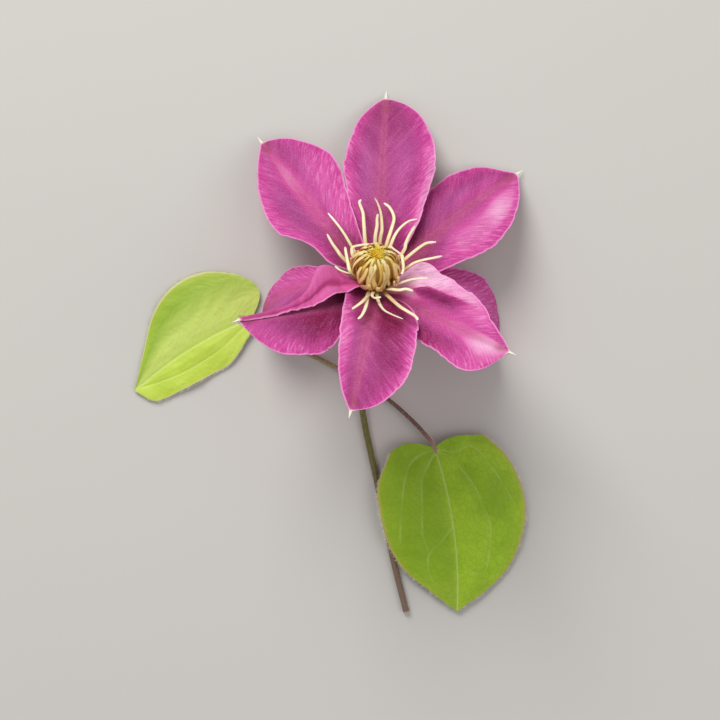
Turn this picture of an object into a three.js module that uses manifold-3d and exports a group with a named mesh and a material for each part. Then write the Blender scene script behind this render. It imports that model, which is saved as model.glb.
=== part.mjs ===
// Clematis bloom, cut with its stem and one pair of leaves, lying on a surface.
// Millimetres, Z up. The stem lies along -Y and the bloom tips over towards +Y.
// The origin is on the surface, below the middle of the whole.

import * as THREE from 'three';
import { mergeVertices } from 'three/addons/utils/BufferGeometryUtils.js';
import Module from 'manifold-3d';

const wasm = await Module();
wasm.setup();

// Driving dimensions
const BLOOM_HEIGHT = 28.7;
const BLOOM_LEAN = 38;
const SEPAL_THICKNESS = 0.7;
const CLAW_RADIUS = 4.6;
const CLAW_HALF_WIDTH = 1.3;
const TIP_HALF_WIDTH = 0.45;
const BRISTLE_LENGTH = 3;
const BOSS_RADIUS = 9;
const BOSS_FOOT = 3.3;
const BOSS_HEIGHT = 15.5;
const MOUTH_FLOOR = BOSS_FOOT + 0.8 * BOSS_HEIGHT;
const MOUTH_RADIUS = 0.27 * BOSS_RADIUS;
const STRAP_HALF_WIDTH = 1.2;
const STRAP_HALF_THICKNESS = 0.6;
const STAMEN_ROOT_RADIUS = 4;
const STAMEN_RISE = [11, 14];
const STYLES_HEIGHT = 4.9;
const STEM_RADIUS = 1.3;
const RECEPTACLE_RADIUS = CLAW_RADIUS - 0.6;
const NODE_RADIUS = 2.1;
const PETIOLE_RADIUS = 0.85;
const LEAF_THICKNESS = 0.7;

// Clearance between pieces that touch
const GAP = 0.3;

const radians = THREE.MathUtils.degToRad;

// Shares of a margin's length at which its half widths are given
const STATIONS = [0, 0.15, 0.3, 0.45, 0.6, 0.75, 0.88, 0.96, 1];

function smooth(value) {
  const x = THREE.MathUtils.clamp(value, 0, 1);
  return x * x * (3 - 2 * x);
}

// Smooth curve through the stations, seven inner values between two ends
function alongStations(share, first, inner, last) {
  const values = [first, ...inner, last];
  const slope = (i) => {
    const low = Math.max(i - 1, 0);
    const high = Math.min(i + 1, values.length - 1);
    return (values[high] - values[low]) / (STATIONS[high] - STATIONS[low]);
  };
  let i = 0;
  while (i < values.length - 2 && share > STATIONS[i + 1]) i += 1;
  const span = STATIONS[i + 1] - STATIONS[i];
  const f = (share - STATIONS[i]) / span;
  const start = (2 * f ** 3 - 3 * f ** 2 + 1) * values[i] + (f ** 3 - 2 * f ** 2 + f) * span * slope(i);
  const end = (3 * f ** 2 - 2 * f ** 3) * values[i + 1] + (f ** 3 - f ** 2) * span * slope(i + 1);
  return start + end;
}

// Straight lines through [share, value] pairs
function between(share, pairs) {
  let i = 0;
  while (i < pairs.length - 2 && share > pairs[i + 1][0]) i += 1;
  const [s0, v0] = pairs[i];
  const [s1, v1] = pairs[i + 1];
  return THREE.MathUtils.lerp(v0, v1, THREE.MathUtils.clamp((share - s0) / (s1 - s0), 0, 1));
}

// Sepals, listed round the bloom. azimuth is in the bloom's own plane, rise is the midrib's slope at its
// root and tip, level lifts one sepal over its neighbour, ccw and cw are the half widths at the stations.
// lobe sets the base of each half back beside the midrib, by so much for each mm out. lift and curl bend the
// halves up and back. A fold turns one half about a line at a share of its width.
const SEPALS = [
  {
    name: 'sepal_top', azimuth: 87, length: 70, rise: [26, 10], sway: 0, level: 0.1,
    ccw: [7, 10.5, 12, 14, 12.5, 9.5, 4.5], cw: [9, 14, 16.5, 19, 18, 14, 8],
    lift: [-4, 8], curl: [-12, -14], wave: 0.8, waves: 3, phase: 0.3, folds: [],
  },
  {
    name: 'sepal_upper_left', azimuth: 126, length: 66, rise: [14, 4], sway: -9, level: 3.5,
    ccw: [8.4, 10, 17, 15.7, 12, 6.5, 2.5], cw: [6, 9.5, 13.5, 17, 17, 12.5, 7],
    lift: [6, 20], curl: [-4, -16], wave: 0.8, waves: 2.6, phase: 1.2, folds: [],
  },
  {
    name: 'sepal_left_back', azimuth: 172, length: 49, rise: [16, -80], sway: 0, level: -1.4,
    ccw: [4, 8, 12, 14, 13, 9, 5], cw: [5, 7.2, 9, 10, 8.8, 6, 3.5],
    lift: [5, 5], curl: [0, 0], wave: 0.5, waves: 2, phase: 0, folds: [],
  },
  {
    name: 'sepal_lower_left', azimuth: 216, length: 57, rise: [24, 22], sway: -14, level: 0.6,
    ccw: [4, 9.4, 15.5, 19.5, 18.5, 15, 8], cw: [15, 27, 13.5, 6.5, 4.2, 3.2, 2.2],
    lift: [-5, 45], curl: [0, 0], wave: 0.4, waves: 3, phase: 0.6,
    folds: [
      { half: 'cw', at: [[0, 0.5], [0.3, 0.52], [0.45, 0.5], [1, 0.46]],
        turn: [[0, 0], [0.06, 120], [0.2, 165], [1, 165]], spread: 0.16 },
      { half: 'cw', at: [[0, 0.76], [0.3, 0.74], [0.45, 0.66], [1, 0.66]],
        turn: [[0, 0], [0.15, 55], [0.7, 45], [1, 0]], spread: 0.07 },
      { half: 'cw', at: [[0, 0.84], [0.3, 0.82], [0.45, 0.74], [1, 0.74]],
        turn: [[0, 0], [0.15, -95], [0.7, -75], [1, 0]], spread: 0.09 },
    ],
  },
  {
    name: 'sepal_bottom', azimuth: 262.5, length: 64, rise: [28, -2], sway: -6, level: 1.7,
    lobe: [0.25, 1], ccw: [11, 16, 17, 17, 16, 11.5, 6.5], cw: [8, 9.4, 9.5, 8.5, 7, 4.5, 2],
    lift: [5, 14], curl: [-10, -10], wave: 0.5, waves: 3, phase: 0,
    folds: [
      { half: 'cw', at: [[0, 0.45], [0.35, 0.6]], turn: [[0, 42], [0.2, 35], [0.42, 0]], spread: 0.2 },
    ],
  },
  {
    name: 'sepal_lower_right', azimuth: 318, length: 57, rise: [18, 10], sway: 8, level: 1,
    lobe: [0.75, 0.55], ccw: [19, 20.5, 18.6, 14.5, 9, 5, 2.2], cw: [6, 9, 11.5, 12.6, 14.4, 14.4, 9.6],
    lift: [0, 0], curl: [0, 0], wave: 0.4, waves: 3, phase: 0,
    folds: [
      { half: 'ccw', at: [[0.08, 0.05], [0.2, 0.12], [0.3, 0.28], [0.45, 0.34], [0.62, 0.8]],
        turn: [[0.03, 0], [0.16, 60], [0.3, 75], [0.5, 75], [0.62, 40], [0.7, 0]], spread: 0.12 },
      { half: 'ccw', at: [[0.08, 0.12], [0.2, 0.29], [0.3, 0.51], [0.45, 0.56], [0.62, 0.85]],
        turn: [[0.03, 0], [0.16, -135], [0.3, -165], [0.5, -165], [0.62, -80], [0.7, 0]], spread: 0.06 },
      { half: 'ccw', at: [[0.08, 0.17], [0.2, 0.36], [0.3, 0.6], [0.45, 0.65], [0.62, 0.88]],
        turn: [[0.03, 0], [0.16, 78], [0.3, 92], [0.5, 92], [0.62, 40], [0.7, 0]], spread: 0.06 },
    ],
  },
  {
    name: 'sepal_right_back', azimuth: 357, length: 59, rise: [10, -90], sway: 0, level: -2.6,
    ccw: [8, 13.5, 16.5, 17.5, 15.5, 11, 5.5], cw: [4, 8, 11, 11, 8, 4, 2],
    lift: [5, 5], curl: [0, 0], wave: 0.5, waves: 2, phase: 0, folds: [],
  },
  {
    name: 'sepal_upper_right', azimuth: 44, length: 67, rise: [18, -6], sway: -4, level: -1.8,
    ccw: [7, 10.5, 12.5, 15, 13.5, 10, 3.5], cw: [7.5, 12.6, 16.4, 18, 15, 9.5, 4],
    lift: [10, -6], curl: [-5, 0], wave: 0.6, waves: 3, phase: 0, folds: [],
  },
];

// Bloom's own frame (right, up, out along its axis) turned into the part's frame
function fromBloom(point) {
  const lean = radians(BLOOM_LEAN);
  return new THREE.Vector3(
    point.x,
    point.y * Math.cos(lean) + point.z * Math.sin(lean),
    point.z * Math.cos(lean) - point.y * Math.sin(lean) + BLOOM_HEIGHT,
  );
}

// Directions along a blade's midrib, across the blade and out of its face
function bladeDirections(blade, share) {
  const inner = Math.min(share, 1);
  const slope = radians(THREE.MathUtils.lerp(blade.rise[0], blade.rise[1], inner));
  const heading = radians(blade.azimuth + blade.sway * (inner - 0.5));
  const along = new THREE.Vector3(
    Math.cos(slope) * Math.cos(heading),
    Math.cos(slope) * Math.sin(heading),
    Math.sin(slope),
  );
  const across = new THREE.Vector3(-Math.sin(heading), Math.cos(heading), 0);
  return { along, across, face: along.clone().cross(across) };
}

// Points along the midrib, the last share past 1 being the straight bristle
function midribPoints(blade, shares, start) {
  const steps = 96;
  const point = start.clone();
  const path = [point.clone()];
  for (let i = 0; i < steps; i += 1) {
    const { along } = bladeDirections(blade, (i + 0.5) / steps);
    path.push(point.addScaledVector(along, blade.length / steps).clone());
  }
  return shares.map((share) => {
    const place = Math.min(share, 1) * steps;
    const i = Math.min(Math.floor(place), steps - 1);
    const here = path[i].clone().lerp(path[i + 1], place - i);
    const past = Math.max(share - 1, 0) * blade.length;
    return here.addScaledVector(bladeDirections(blade, 1).along, past);
  });
}

// How far out and up the sheet has gone at a share of one half's width
function crossSection(blade, share, across, rootHalfWidth) {
  const side = across >= 0 ? 0 : 1;
  const half = side === 0 ? 'ccw' : 'cw';
  const inner = Math.min(share, 1);
  const width = alongStations(inner, rootHalfWidth, blade[half], TIP_HALF_WIDTH);
  const steps = 72;
  const step = Math.abs(across) / steps;
  const reach = { out: 0, up: 0 };
  for (let j = 0; j < steps; j += 1) {
    const place = (j + 0.5) * step;
    let angle = blade.lift[side] * smooth(4 * place) + blade.curl[side] * place;
    for (const fold of blade.folds.filter((each) => each.half === half)) {
      const line = between(inner, fold.at);
      angle += between(inner, fold.turn) * smooth((place - line) / fold.spread + 0.5);
    }
    reach.out += Math.cos(radians(angle)) * step * width;
    reach.up += Math.sin(radians(angle)) * step * width;
  }
  const beat = Math.sin(2 * Math.PI * blade.waves * inner + blade.phase + 1.7 * side);
  reach.up += blade.wave * across ** 2 * beat * Math.sin(Math.PI * inner);
  return reach;
}

// Grid of points on the front of a sepal, rows from claw to tip
function sepalGrid(sepal, shares, acrosses) {
  const turn = radians(sepal.azimuth);
  const start = new THREE.Vector3(CLAW_RADIUS * Math.cos(turn), CLAW_RADIUS * Math.sin(turn), sepal.level);
  const middles = midribPoints(sepal, shares, start);
  return shares.map((share, i) => {
    const directions = bladeDirections(sepal, share);
    return acrosses.map((across) => {
      const reach = crossSection(sepal, share, across, CLAW_HALF_WIDTH);
      const lobe = sepal.lobe ? sepal.lobe[across >= 0 ? 0 : 1] : 0;
      const back = lobe * reach.out * Math.max(1 - share, 0) ** 3;
      const side = Math.sign(across) * reach.out;
      const point = middles[i].clone().addScaledVector(directions.across, side);
      point.addScaledVector(directions.face, reach.up).addScaledVector(directions.along, -back);
      return fromBloom(point);
    });
  });
}

// Sheet of even thickness under a grid of points, the same triangles on both faces
function sheetGeometry(grid, thickness) {
  const rows = grid.length;
  const columns = grid[0].length;
  const within = (i, count) => THREE.MathUtils.clamp(i, 0, count - 1);
  const at = (i, j) => grid[within(i, rows)][within(j, columns)];
  const positions = [];
  for (let i = 0; i < rows; i += 1) {
    for (let j = 0; j < columns; j += 1) positions.push(...at(i, j).toArray());
  }
  for (let i = 0; i < rows; i += 1) {
    for (let j = 0; j < columns; j += 1) {
      const down = at(i + 1, j).clone().sub(at(i - 1, j));
      const over = at(i, j + 1).clone().sub(at(i, j - 1));
      const normal = down.cross(over).normalize();
      positions.push(...at(i, j).clone().addScaledVector(normal, -thickness).toArray());
    }
  }
  const front = (i, j) => i * columns + j;
  const back = (i, j) => rows * columns + i * columns + j;
  const index = [];
  const quad = (a, b, c, d) => index.push(a, b, c, a, c, d);
  for (let i = 0; i < rows - 1; i += 1) {
    for (let j = 0; j < columns - 1; j += 1) {
      index.push(front(i, j), front(i + 1, j), front(i + 1, j + 1));
      index.push(front(i, j), front(i + 1, j + 1), front(i, j + 1));
      index.push(back(i, j), back(i + 1, j + 1), back(i + 1, j));
      index.push(back(i, j), back(i, j + 1), back(i + 1, j + 1));
    }
  }
  for (let i = 0; i < rows - 1; i += 1) {
    quad(front(i, 0), back(i, 0), back(i + 1, 0), front(i + 1, 0));
    quad(front(i + 1, columns - 1), back(i + 1, columns - 1), back(i, columns - 1), front(i, columns - 1));
  }
  for (let j = 0; j < columns - 1; j += 1) {
    quad(front(0, j + 1), back(0, j + 1), back(0, j), front(0, j));
    quad(front(rows - 1, j), back(rows - 1, j), back(rows - 1, j + 1), front(rows - 1, j + 1));
  }
  const geometry = new THREE.BufferGeometry();
  geometry.setAttribute('position', new THREE.Float32BufferAttribute(positions, 3));
  geometry.setIndex(index);
  geometry.computeVertexNormals();
  return geometry;
}

function evenShares(from, to, count) {
  return Array.from({ length: count + 1 }, (_, i) => from + ((to - from) * i) / count);
}

function sepalGeometry(sepal) {
  const rows = [...evenShares(0, 0.9, 14), 0.95, 0.985, 1, 1 + BRISTLE_LENGTH / sepal.length];
  const columns = sepal.folds.length > 0 ? evenShares(-1, 1, 18) : evenShares(-1, 1, 10);
  return sheetGeometry(sepalGrid(sepal, rows, columns), SEPAL_THICKNESS);
}

// Solid that follows a path of points. sizes gives the half width and half thickness at each point,
// and broad is the direction that the half width keeps to. The ends are flat.
function sweepGeometry(points, sizes, broad, sides) {
  const positions = [];
  const index = [];
  const last = points.length - 1;
  for (let i = 0; i <= last; i += 1) {
    const along = points[Math.min(i + 1, last)].clone().sub(points[Math.max(i - 1, 0)]).normalize();
    const wide = broad.clone().addScaledVector(along, -broad.dot(along)).normalize();
    const thick = along.clone().cross(wide);
    for (let k = 0; k < sides; k += 1) {
      const turn = ((k + 0.5) * 2 * Math.PI) / sides;
      const point = points[i].clone();
      point.addScaledVector(wide, sizes[i][0] * Math.cos(turn));
      point.addScaledVector(thick, sizes[i][1] * Math.sin(turn));
      positions.push(...point.toArray());
    }
  }
  for (let i = 0; i < last; i += 1) {
    for (let k = 0; k < sides; k += 1) {
      const a = i * sides + k;
      const b = i * sides + ((k + 1) % sides);
      index.push(a, b, b + sides, a, b + sides, a + sides);
    }
  }
  for (let k = 1; k < sides - 1; k += 1) {
    index.push(0, k + 1, k);
    index.push(last * sides, last * sides + k, last * sides + k + 1);
  }
  const geometry = new THREE.BufferGeometry();
  geometry.setAttribute('position', new THREE.Float32BufferAttribute(positions, 3));
  geometry.setIndex(index);
  return geometry;
}

function solidOf(geometry) {
  const welded = mergeVertices(geometry.clone().deleteAttribute('uv').deleteAttribute('normal'), 1e-4);
  const mesh = new wasm.Mesh({
    numProp: 3,
    vertProperties: new Float32Array(welded.attributes.position.array),
    triVerts: new Uint32Array(welded.index.array),
  });
  return new wasm.Manifold(mesh);
}

// One geometry out of several solids that run into each other
function fused(geometries) {
  const joined = geometries.map(solidOf).reduce((whole, piece) => whole.add(piece));
  const mesh = joined.getMesh();
  const geometry = new THREE.BufferGeometry();
  geometry.setAttribute('position', new THREE.Float32BufferAttribute(mesh.vertProperties, 3));
  geometry.setIndex(Array.from(mesh.triVerts));
  return geometry;
}

// Repeatable draws between 0 and 1
function drawsFrom(seed) {
  let state = seed;
  return () => {
    state = (state * 48271) % 2147483647;
    return state / 2147483647;
  };
}

// Point at a radius and height on the bloom's axis, before the bloom leans
function onBloom(azimuth, radius, height) {
  const turn = radians(azimuth);
  return new THREE.Vector3(radius * Math.cos(turn), radius * Math.sin(turn), height);
}

// Direction round the bloom's axis at an azimuth, which the flat side of a stamen keeps to
function sideways(azimuth) {
  return fromBloom(onBloom(azimuth + 90, 1, 0)).sub(fromBloom(new THREE.Vector3()));
}

// Stamens that stand away from the head: azimuth at root and tip, and reach of the tip
const SPREADING = [
  [104, 99, 31], [91, 88, 25], [85, 91, 31], [76, 84, 29], [70, 57, 27], [50, 54, 24], [38, 29, 24],
  [20, 13, 24], [328, 346, 19], [312, 320, 17], [121, 124, 29], [144, 138, 23], [165, 142, 16],
  [132, 106, 14], [168, 177, 15], [250, 255, 23], [246, 245, 20], [273, 290, 24], [260, 277, 15],
  [301, 301, 25],
];
const STAMEN_ROOT_SIZE = [0.75, 0.5];
const STAMEN_TIP_SIZE = [0.5, 0.4];

function spreadingStamen([from, to, reach], draw) {
  const rise = THREE.MathUtils.lerp(...STAMEN_RISE, draw());
  const shares = evenShares(0, 1, 5);
  const points = shares.map((share) => {
    const radius = THREE.MathUtils.lerp(STAMEN_ROOT_RADIUS, reach, share);
    const azimuth = THREE.MathUtils.lerp(from, to, share ** 2);
    const height = BOSS_FOOT + 1 + (rise - BOSS_FOOT) * Math.sin((share * Math.PI) / 2);
    return fromBloom(onBloom(azimuth, radius, height));
  });
  const sizes = shares.map((share) => STAMEN_ROOT_SIZE.map((size, i) => (
    THREE.MathUtils.lerp(size, STAMEN_TIP_SIZE[i], share)
  )));
  return sweepGeometry(points, sizes, sideways(from), 4);
}

// Outline of the head, as shares of its radius and height, from its foot to the rim of its mouth
const BOSS_OUTLINE = [
  [0.38, 0], [0.64, 0.12], [0.92, 0.34], [0.98, 0.52], [0.9, 0.72], [0.66, 0.9], [0.34, 1],
];

// Strap that bends in over the head, narrower at its tip
function headStamen(azimuth, swell, draw) {
  const twist = 14 * (draw() - 0.5);
  const tall = 1 + 0.08 * (draw() - 0.5);
  const points = BOSS_OUTLINE.map(([radius, height]) => fromBloom(onBloom(
    azimuth + twist * height,
    radius * swell * BOSS_RADIUS,
    BOSS_FOOT + height * tall * BOSS_HEIGHT,
  )));
  const sizes = BOSS_OUTLINE.map(([, height]) => [
    (height < 1 ? 1 : 0.7) * STRAP_HALF_WIDTH,
    STRAP_HALF_THICKNESS,
  ]);
  return sweepGeometry(points, sizes, sideways(azimuth), 4);
}

// Solid heart of the head, hollowed at the top for the pistil
function headCore() {
  const inner = 0.9 * BOSS_RADIUS;
  const outline = BOSS_OUTLINE.map(([radius, height]) => new THREE.Vector2(
    radius * inner,
    BOSS_FOOT + height * 0.95 * BOSS_HEIGHT,
  ));
  const mouth = [new THREE.Vector2(MOUTH_RADIUS, MOUTH_FLOOR), new THREE.Vector2(0, MOUTH_FLOOR)];
  const profile = [new THREE.Vector2(0, BOSS_FOOT), ...outline, ...mouth];
  return leaned(new THREE.LatheGeometry(profile, 16).rotateX(Math.PI / 2));
}

function leaned(geometry) {
  const placed = geometry.clone();
  const position = placed.attributes.position;
  for (let i = 0; i < position.count; i += 1) {
    const point = fromBloom(new THREE.Vector3().fromBufferAttribute(position, i));
    position.setXYZ(i, point.x, point.y, point.z);
  }
  return placed;
}

function stamensGeometry() {
  const draw = drawsFrom(77);
  const around = 18;
  const head = Array.from({ length: around }, (_, k) => {
    const azimuth = (360 * (k + 0.4 * draw())) / around;
    return headStamen(azimuth, 0.97 + 0.05 * draw(), draw);
  });
  const spreading = SPREADING.map((stamen) => spreadingStamen(stamen, draw));
  return fused([headCore(), ...head, ...spreading]);
}

// Yellow tips of the pistil, standing in the mouth of the head
function stylesGeometry() {
  const foot = MOUTH_FLOOR + GAP;
  const profile = [[0, 0], [1.6, 0], [1.5, 0.65], [0.9, 0.94], [0, 1]];
  const outline = profile.map(([radius, share]) => new THREE.Vector2(radius, foot + share * STYLES_HEIGHT));
  return leaned(new THREE.LatheGeometry(outline, 10).rotateX(Math.PI / 2));
}

// Stem, from its cut end on the surface up into the bloom. Its section is an octagon with one side down.
const STEM_REST = STEM_RADIUS * Math.cos(Math.PI / 8);
const STEM_PATH = [
  [11.1, -116, STEM_REST], [6.8, -99, STEM_REST], [3.6, -84, STEM_REST], [0.3, -68, STEM_REST],
  [-3.6, -50, 1.5], [-5.2, -40, 2.6], [-5.7, -33, 4.6], [-4.6, -24, 8.6], [-2.6, -15.5, 14.2],
  [-0.9, -7.6, 20.4],
];

// Heights on the bloom's axis, below its base, where the stem ends inside the receptacle
const STEM_TOP = [-6, -3.5];

// Place on the stem of the swollen node that the leaves grow from
const NODE_PLACE = [-5.7, -33, 4.6];

// Radius and height of the receptacle on the bloom's axis, from the stem's end to below the stamens
const RECEPTACLE_OUTLINE = [
  [0, -5.5], [1.6, -5.5], [3.4, -3.6], [RECEPTACLE_RADIUS, -2.4], [RECEPTACLE_RADIUS, 1.2],
  [3.2, BOSS_FOOT - GAP], [0, BOSS_FOOT - GAP],
];

function stemGeometry() {
  const path = STEM_PATH.map((point) => new THREE.Vector3(...point));
  for (const height of STEM_TOP) path.push(fromBloom(new THREE.Vector3(0, 0, height)));
  const sizes = path.map(() => [STEM_RADIUS, STEM_RADIUS]);
  const stem = sweepGeometry(path, sizes, new THREE.Vector3(1, 0, 0), 8);
  const node = new THREE.SphereGeometry(NODE_RADIUS, 10, 8);
  node.translate(...NODE_PLACE);
  const outline = RECEPTACLE_OUTLINE.map(([radius, height]) => new THREE.Vector2(radius, height));
  const receptacle = leaned(new THREE.LatheGeometry(outline, 16).rotateX(Math.PI / 2));
  return fused([stem, node, receptacle]);
}

// Leaves, in the same frame as the stem. base, lobe and tuck are one for each half: its width at the foot, how
// far the foot bulges back, and how far the margin comes forward again, level with the stalk at 1. Each
// petiole starts at the node's surface and ends inside its blade.
const LEAVES = [
  {
    name: 'leaf_left', start: [-44.6, -10, 1.6], azimuth: 212, length: 50, rise: [0, -1], sway: 22,
    base: [3, 17], lobe: [6, 6], tuck: [1, 1],
    ccw: [8.5, 12, 12, 11.5, 10.5, 9, 6.5], cw: [21.5, 23, 21.5, 17, 10, 4.5, 1.5],
    lift: [8, 8], curl: [-16, -16], wave: 0.5, waves: 2, phase: 0, folds: [],
    petiole: [[-14, -28, 2.2], [-24, -23, 1.3], [-38, -15.4, 1.3], [-45.6, -10.6, 1.3], [-50, -9, 1.3]],
  },
  {
    name: 'leaf_right', start: [21.1, -56.6, 4.8], azimuth: -82, length: 60, rise: [1, -6], sway: -22,
    base: [18.3, 15.8], lobe: [1.5, 4.6], tuck: [1.33, 0.75],
    ccw: [24, 26.7, 26.9, 24, 18.7, 10.2, 3.4], cw: [23.3, 25.1, 24.9, 23.2, 18.5, 10, 3.9],
    lift: [6, 6], curl: [-20, -8], wave: 0.5, waves: 2, phase: 1, folds: [],
    petiole: [[2, -37.5, 3], [10, -44, 3], [17, -51, 3.6], [20.6, -55.6, 4.1], [22, -59, 4.4]],
  },
];

function leafGrid(leaf, shares, acrosses) {
  const start = new THREE.Vector3(...leaf.start);
  const middles = midribPoints(leaf, shares, start);
  return shares.map((share, i) => {
    const directions = bladeDirections(leaf, share);
    return acrosses.map((across) => {
      const half = across >= 0 ? 0 : 1;
      const reach = crossSection(leaf, share, across, leaf.base[half]);
      const turn = Math.PI * leaf.tuck[half] * Math.abs(across);
      const back = leaf.lobe[half] * Math.sin(turn) * (1 - share) ** 4;
      const point = middles[i].clone().addScaledVector(directions.across, Math.sign(across) * reach.out);
      return point.addScaledVector(directions.face, reach.up).addScaledVector(directions.along, -back);
    });
  });
}

function leafGeometry(leaf) {
  const rows = [...evenShares(0, 0.9, 9), 0.96, 1];
  const blade = sheetGeometry(leafGrid(leaf, rows, evenShares(-1, 1, 8)), LEAF_THICKNESS);
  const path = leaf.petiole.map((point) => new THREE.Vector3(...point));
  const node = new THREE.Vector3(...NODE_PLACE);
  const outwards = path[0].clone().sub(node).normalize();
  path.unshift(node.addScaledVector(outwards, NODE_RADIUS + GAP));
  const sizes = path.map(() => [PETIOLE_RADIUS, PETIOLE_RADIUS]);
  return fused([blade, sweepGeometry(path, sizes, new THREE.Vector3(0, 0, 1), 6)]);
}

function meshOf(name, geometry, color) {
  const flat = geometry.toNonIndexed();
  flat.computeVertexNormals();
  const material = new THREE.MeshStandardMaterial({ color, roughness: 0.7 });
  const mesh = new THREE.Mesh(flat, material);
  mesh.name = name;
  return mesh;
}

// Moves everything so that the origin is on the surface, below the middle of the whole
function centred(group) {
  const middle = new THREE.Box3().setFromObject(group).getCenter(new THREE.Vector3());
  for (const mesh of group.children) mesh.geometry.translate(-middle.x, -middle.y, 0);
  return group;
}

const clematis = new THREE.Group();
for (const sepal of SEPALS) clematis.add(meshOf(sepal.name, sepalGeometry(sepal), 0xb8529a));
clematis.add(meshOf('stamens', stamensGeometry(), 0xe6cf96));
clematis.add(meshOf('styles', stylesGeometry(), 0xe8d23a));
clematis.add(meshOf('stem', stemGeometry(), 0x5b5a2a));
const leafColors = [0xb4cf56, 0x7da31f];
LEAVES.forEach((leaf, i) => clematis.add(meshOf(leaf.name, leafGeometry(leaf), leafColors[i])));

export default centred(clematis);
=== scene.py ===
# %% [markdown]
# # A cut clematis bloom
#
# A large-flowered clematis has no petals. The coloured blades are sepals, and eight of them stand here
# round a head of cream stamens. The bloom was cut with a length of stem and its first pair of leaves, and
# it lies on a surface. The imported model says where every piece is. This script makes the fine surfaces in
# those places, and it starts by importing that model.

import math

import bpy
import numpy as np
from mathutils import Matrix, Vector


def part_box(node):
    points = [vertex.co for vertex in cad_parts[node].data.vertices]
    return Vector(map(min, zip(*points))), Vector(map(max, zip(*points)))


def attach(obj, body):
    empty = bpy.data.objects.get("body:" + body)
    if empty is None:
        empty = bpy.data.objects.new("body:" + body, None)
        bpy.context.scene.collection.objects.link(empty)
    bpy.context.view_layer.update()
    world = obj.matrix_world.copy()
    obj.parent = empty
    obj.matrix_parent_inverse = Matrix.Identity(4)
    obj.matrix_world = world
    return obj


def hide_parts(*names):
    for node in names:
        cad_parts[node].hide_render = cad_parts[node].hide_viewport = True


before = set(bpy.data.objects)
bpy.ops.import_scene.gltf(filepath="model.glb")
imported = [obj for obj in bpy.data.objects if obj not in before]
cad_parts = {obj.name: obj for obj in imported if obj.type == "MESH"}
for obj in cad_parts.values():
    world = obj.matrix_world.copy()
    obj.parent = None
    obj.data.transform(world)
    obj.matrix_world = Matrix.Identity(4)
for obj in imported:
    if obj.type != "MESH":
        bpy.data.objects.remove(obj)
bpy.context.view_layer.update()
print("packed nodes:", ", ".join(sorted(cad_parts)))

# %% [markdown]
# ## Driving dimensions
#
# Sizes are real ones in millimetres, and only the last step of each mesh turns them to metres. The bloom
# has a frame of its own: right, up and out along its axis, with the base of the bloom at its origin. The
# axis leans from the vertical because the upper sepals rest on the surface.

# %% Sizes in millimetres
MM = 0.001
BLOOM_HEIGHT = 28.7
BLOOM_LEAN = math.radians(38)
CLAW_RADIUS = 4.6
CLAW_HALF_WIDTH = 1.3
TIP_HALF_WIDTH = 0.45
BRISTLE_LENGTH = 3
SOLID_THICKNESS = 0.7
BOSS_RADIUS = 9
BOSS_FOOT = 3.3
BOSS_HEIGHT = 15.5
MOUTH_FLOOR = BOSS_FOOT + 0.8 * BOSS_HEIGHT
MOUTH_RADIUS = 0.27 * BOSS_RADIUS
STEM_RADIUS = 1.2
NODE_RADIUS = 2.1
PETIOLE_RADIUS = 0.85
print(f"the bloom leans {math.degrees(BLOOM_LEAN):.0f} degrees, its base {BLOOM_HEIGHT} mm up")

# %% [markdown]
# ## Curves that the shapes are drawn with
#
# A sepal's outline is given by its half widths at a few shares of its length, as a plant breeder would
# measure it, and a smooth curve runs through them. Stems and stamens are given by a few points, with a
# smooth path through those. Both are short formulas, so they are written out here instead of using a curve
# object.

# %% Smooth curves
STATIONS = np.array([0, 0.15, 0.3, 0.45, 0.6, 0.75, 0.88, 0.96, 1])


def smooth(value):
    x = np.clip(value, 0, 1)
    return x * x * (3 - 2 * x)


def near(value, middle, spread):
    """1 at the middle, falling smoothly to 0 a spread away from it."""
    return smooth(1 - np.abs(value - middle) / spread)


def along_stations(share, first, inner, last):
    """Smooth curve through the stations, seven inner values between two ends."""
    values = np.array([first, *inner, last], float)
    order = np.arange(len(values))
    low = np.maximum(order - 1, 0)
    high = np.minimum(order + 1, len(values) - 1)
    slopes = (values[high] - values[low]) / (STATIONS[high] - STATIONS[low])
    i = np.clip(np.searchsorted(STATIONS, share) - 1, 0, len(values) - 2)
    span = STATIONS[i + 1] - STATIONS[i]
    f = (share - STATIONS[i]) / span
    start = (2 * f**3 - 3 * f**2 + 1) * values[i] + (f**3 - 2 * f**2 + f) * span * slopes[i]
    end = (3 * f**2 - 2 * f**3) * values[i + 1] + (f**3 - f**2) * span * slopes[i + 1]
    return start + end


def smooth_path(points, steps):
    """Points on a smooth curve through the given ones, with as many steps between each two."""
    points = np.asarray(points, float)
    ends = 2 * points[[0, -1]] - points[[1, -2]]
    padded = np.vstack([ends[:1], points, ends[1:]])
    f = np.arange(steps)[:, None] / steps
    stretches = []
    for a, b, c, d in zip(padded, padded[1:], padded[2:], padded[3:]):
        bend = (2 * a - 5 * b + 4 * c - d) * f**2 + (3 * b - a - 3 * c + d) * f**3
        stretches.append(0.5 * (2 * b + (c - a) * f + bend))
    return np.vstack([*stretches, points[-1:]])


def unit(vectors):
    return vectors / np.linalg.norm(vectors, axis=-1, keepdims=True)


# %% [markdown]
# ## The blade of a sepal or a leaf
#
# Every blade is the same kind of thing: a midrib that bends as it goes, and two halves that lift, curl,
# wave and fold away from it, one counterclockwise of the midrib and one clockwise. Two of these sepals are
# folded: one has its upper half turned forward over its face, and one has a crest with a shelf behind it. A
# simulation could crumple a flat sheet, but the photograph decides each fold, so every half is bent by
# angles that depend on the place across it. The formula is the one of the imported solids, and here it gets a
# far finer grid.

# %% Blade formula
HALVES = ("ccw", "cw")


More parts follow.
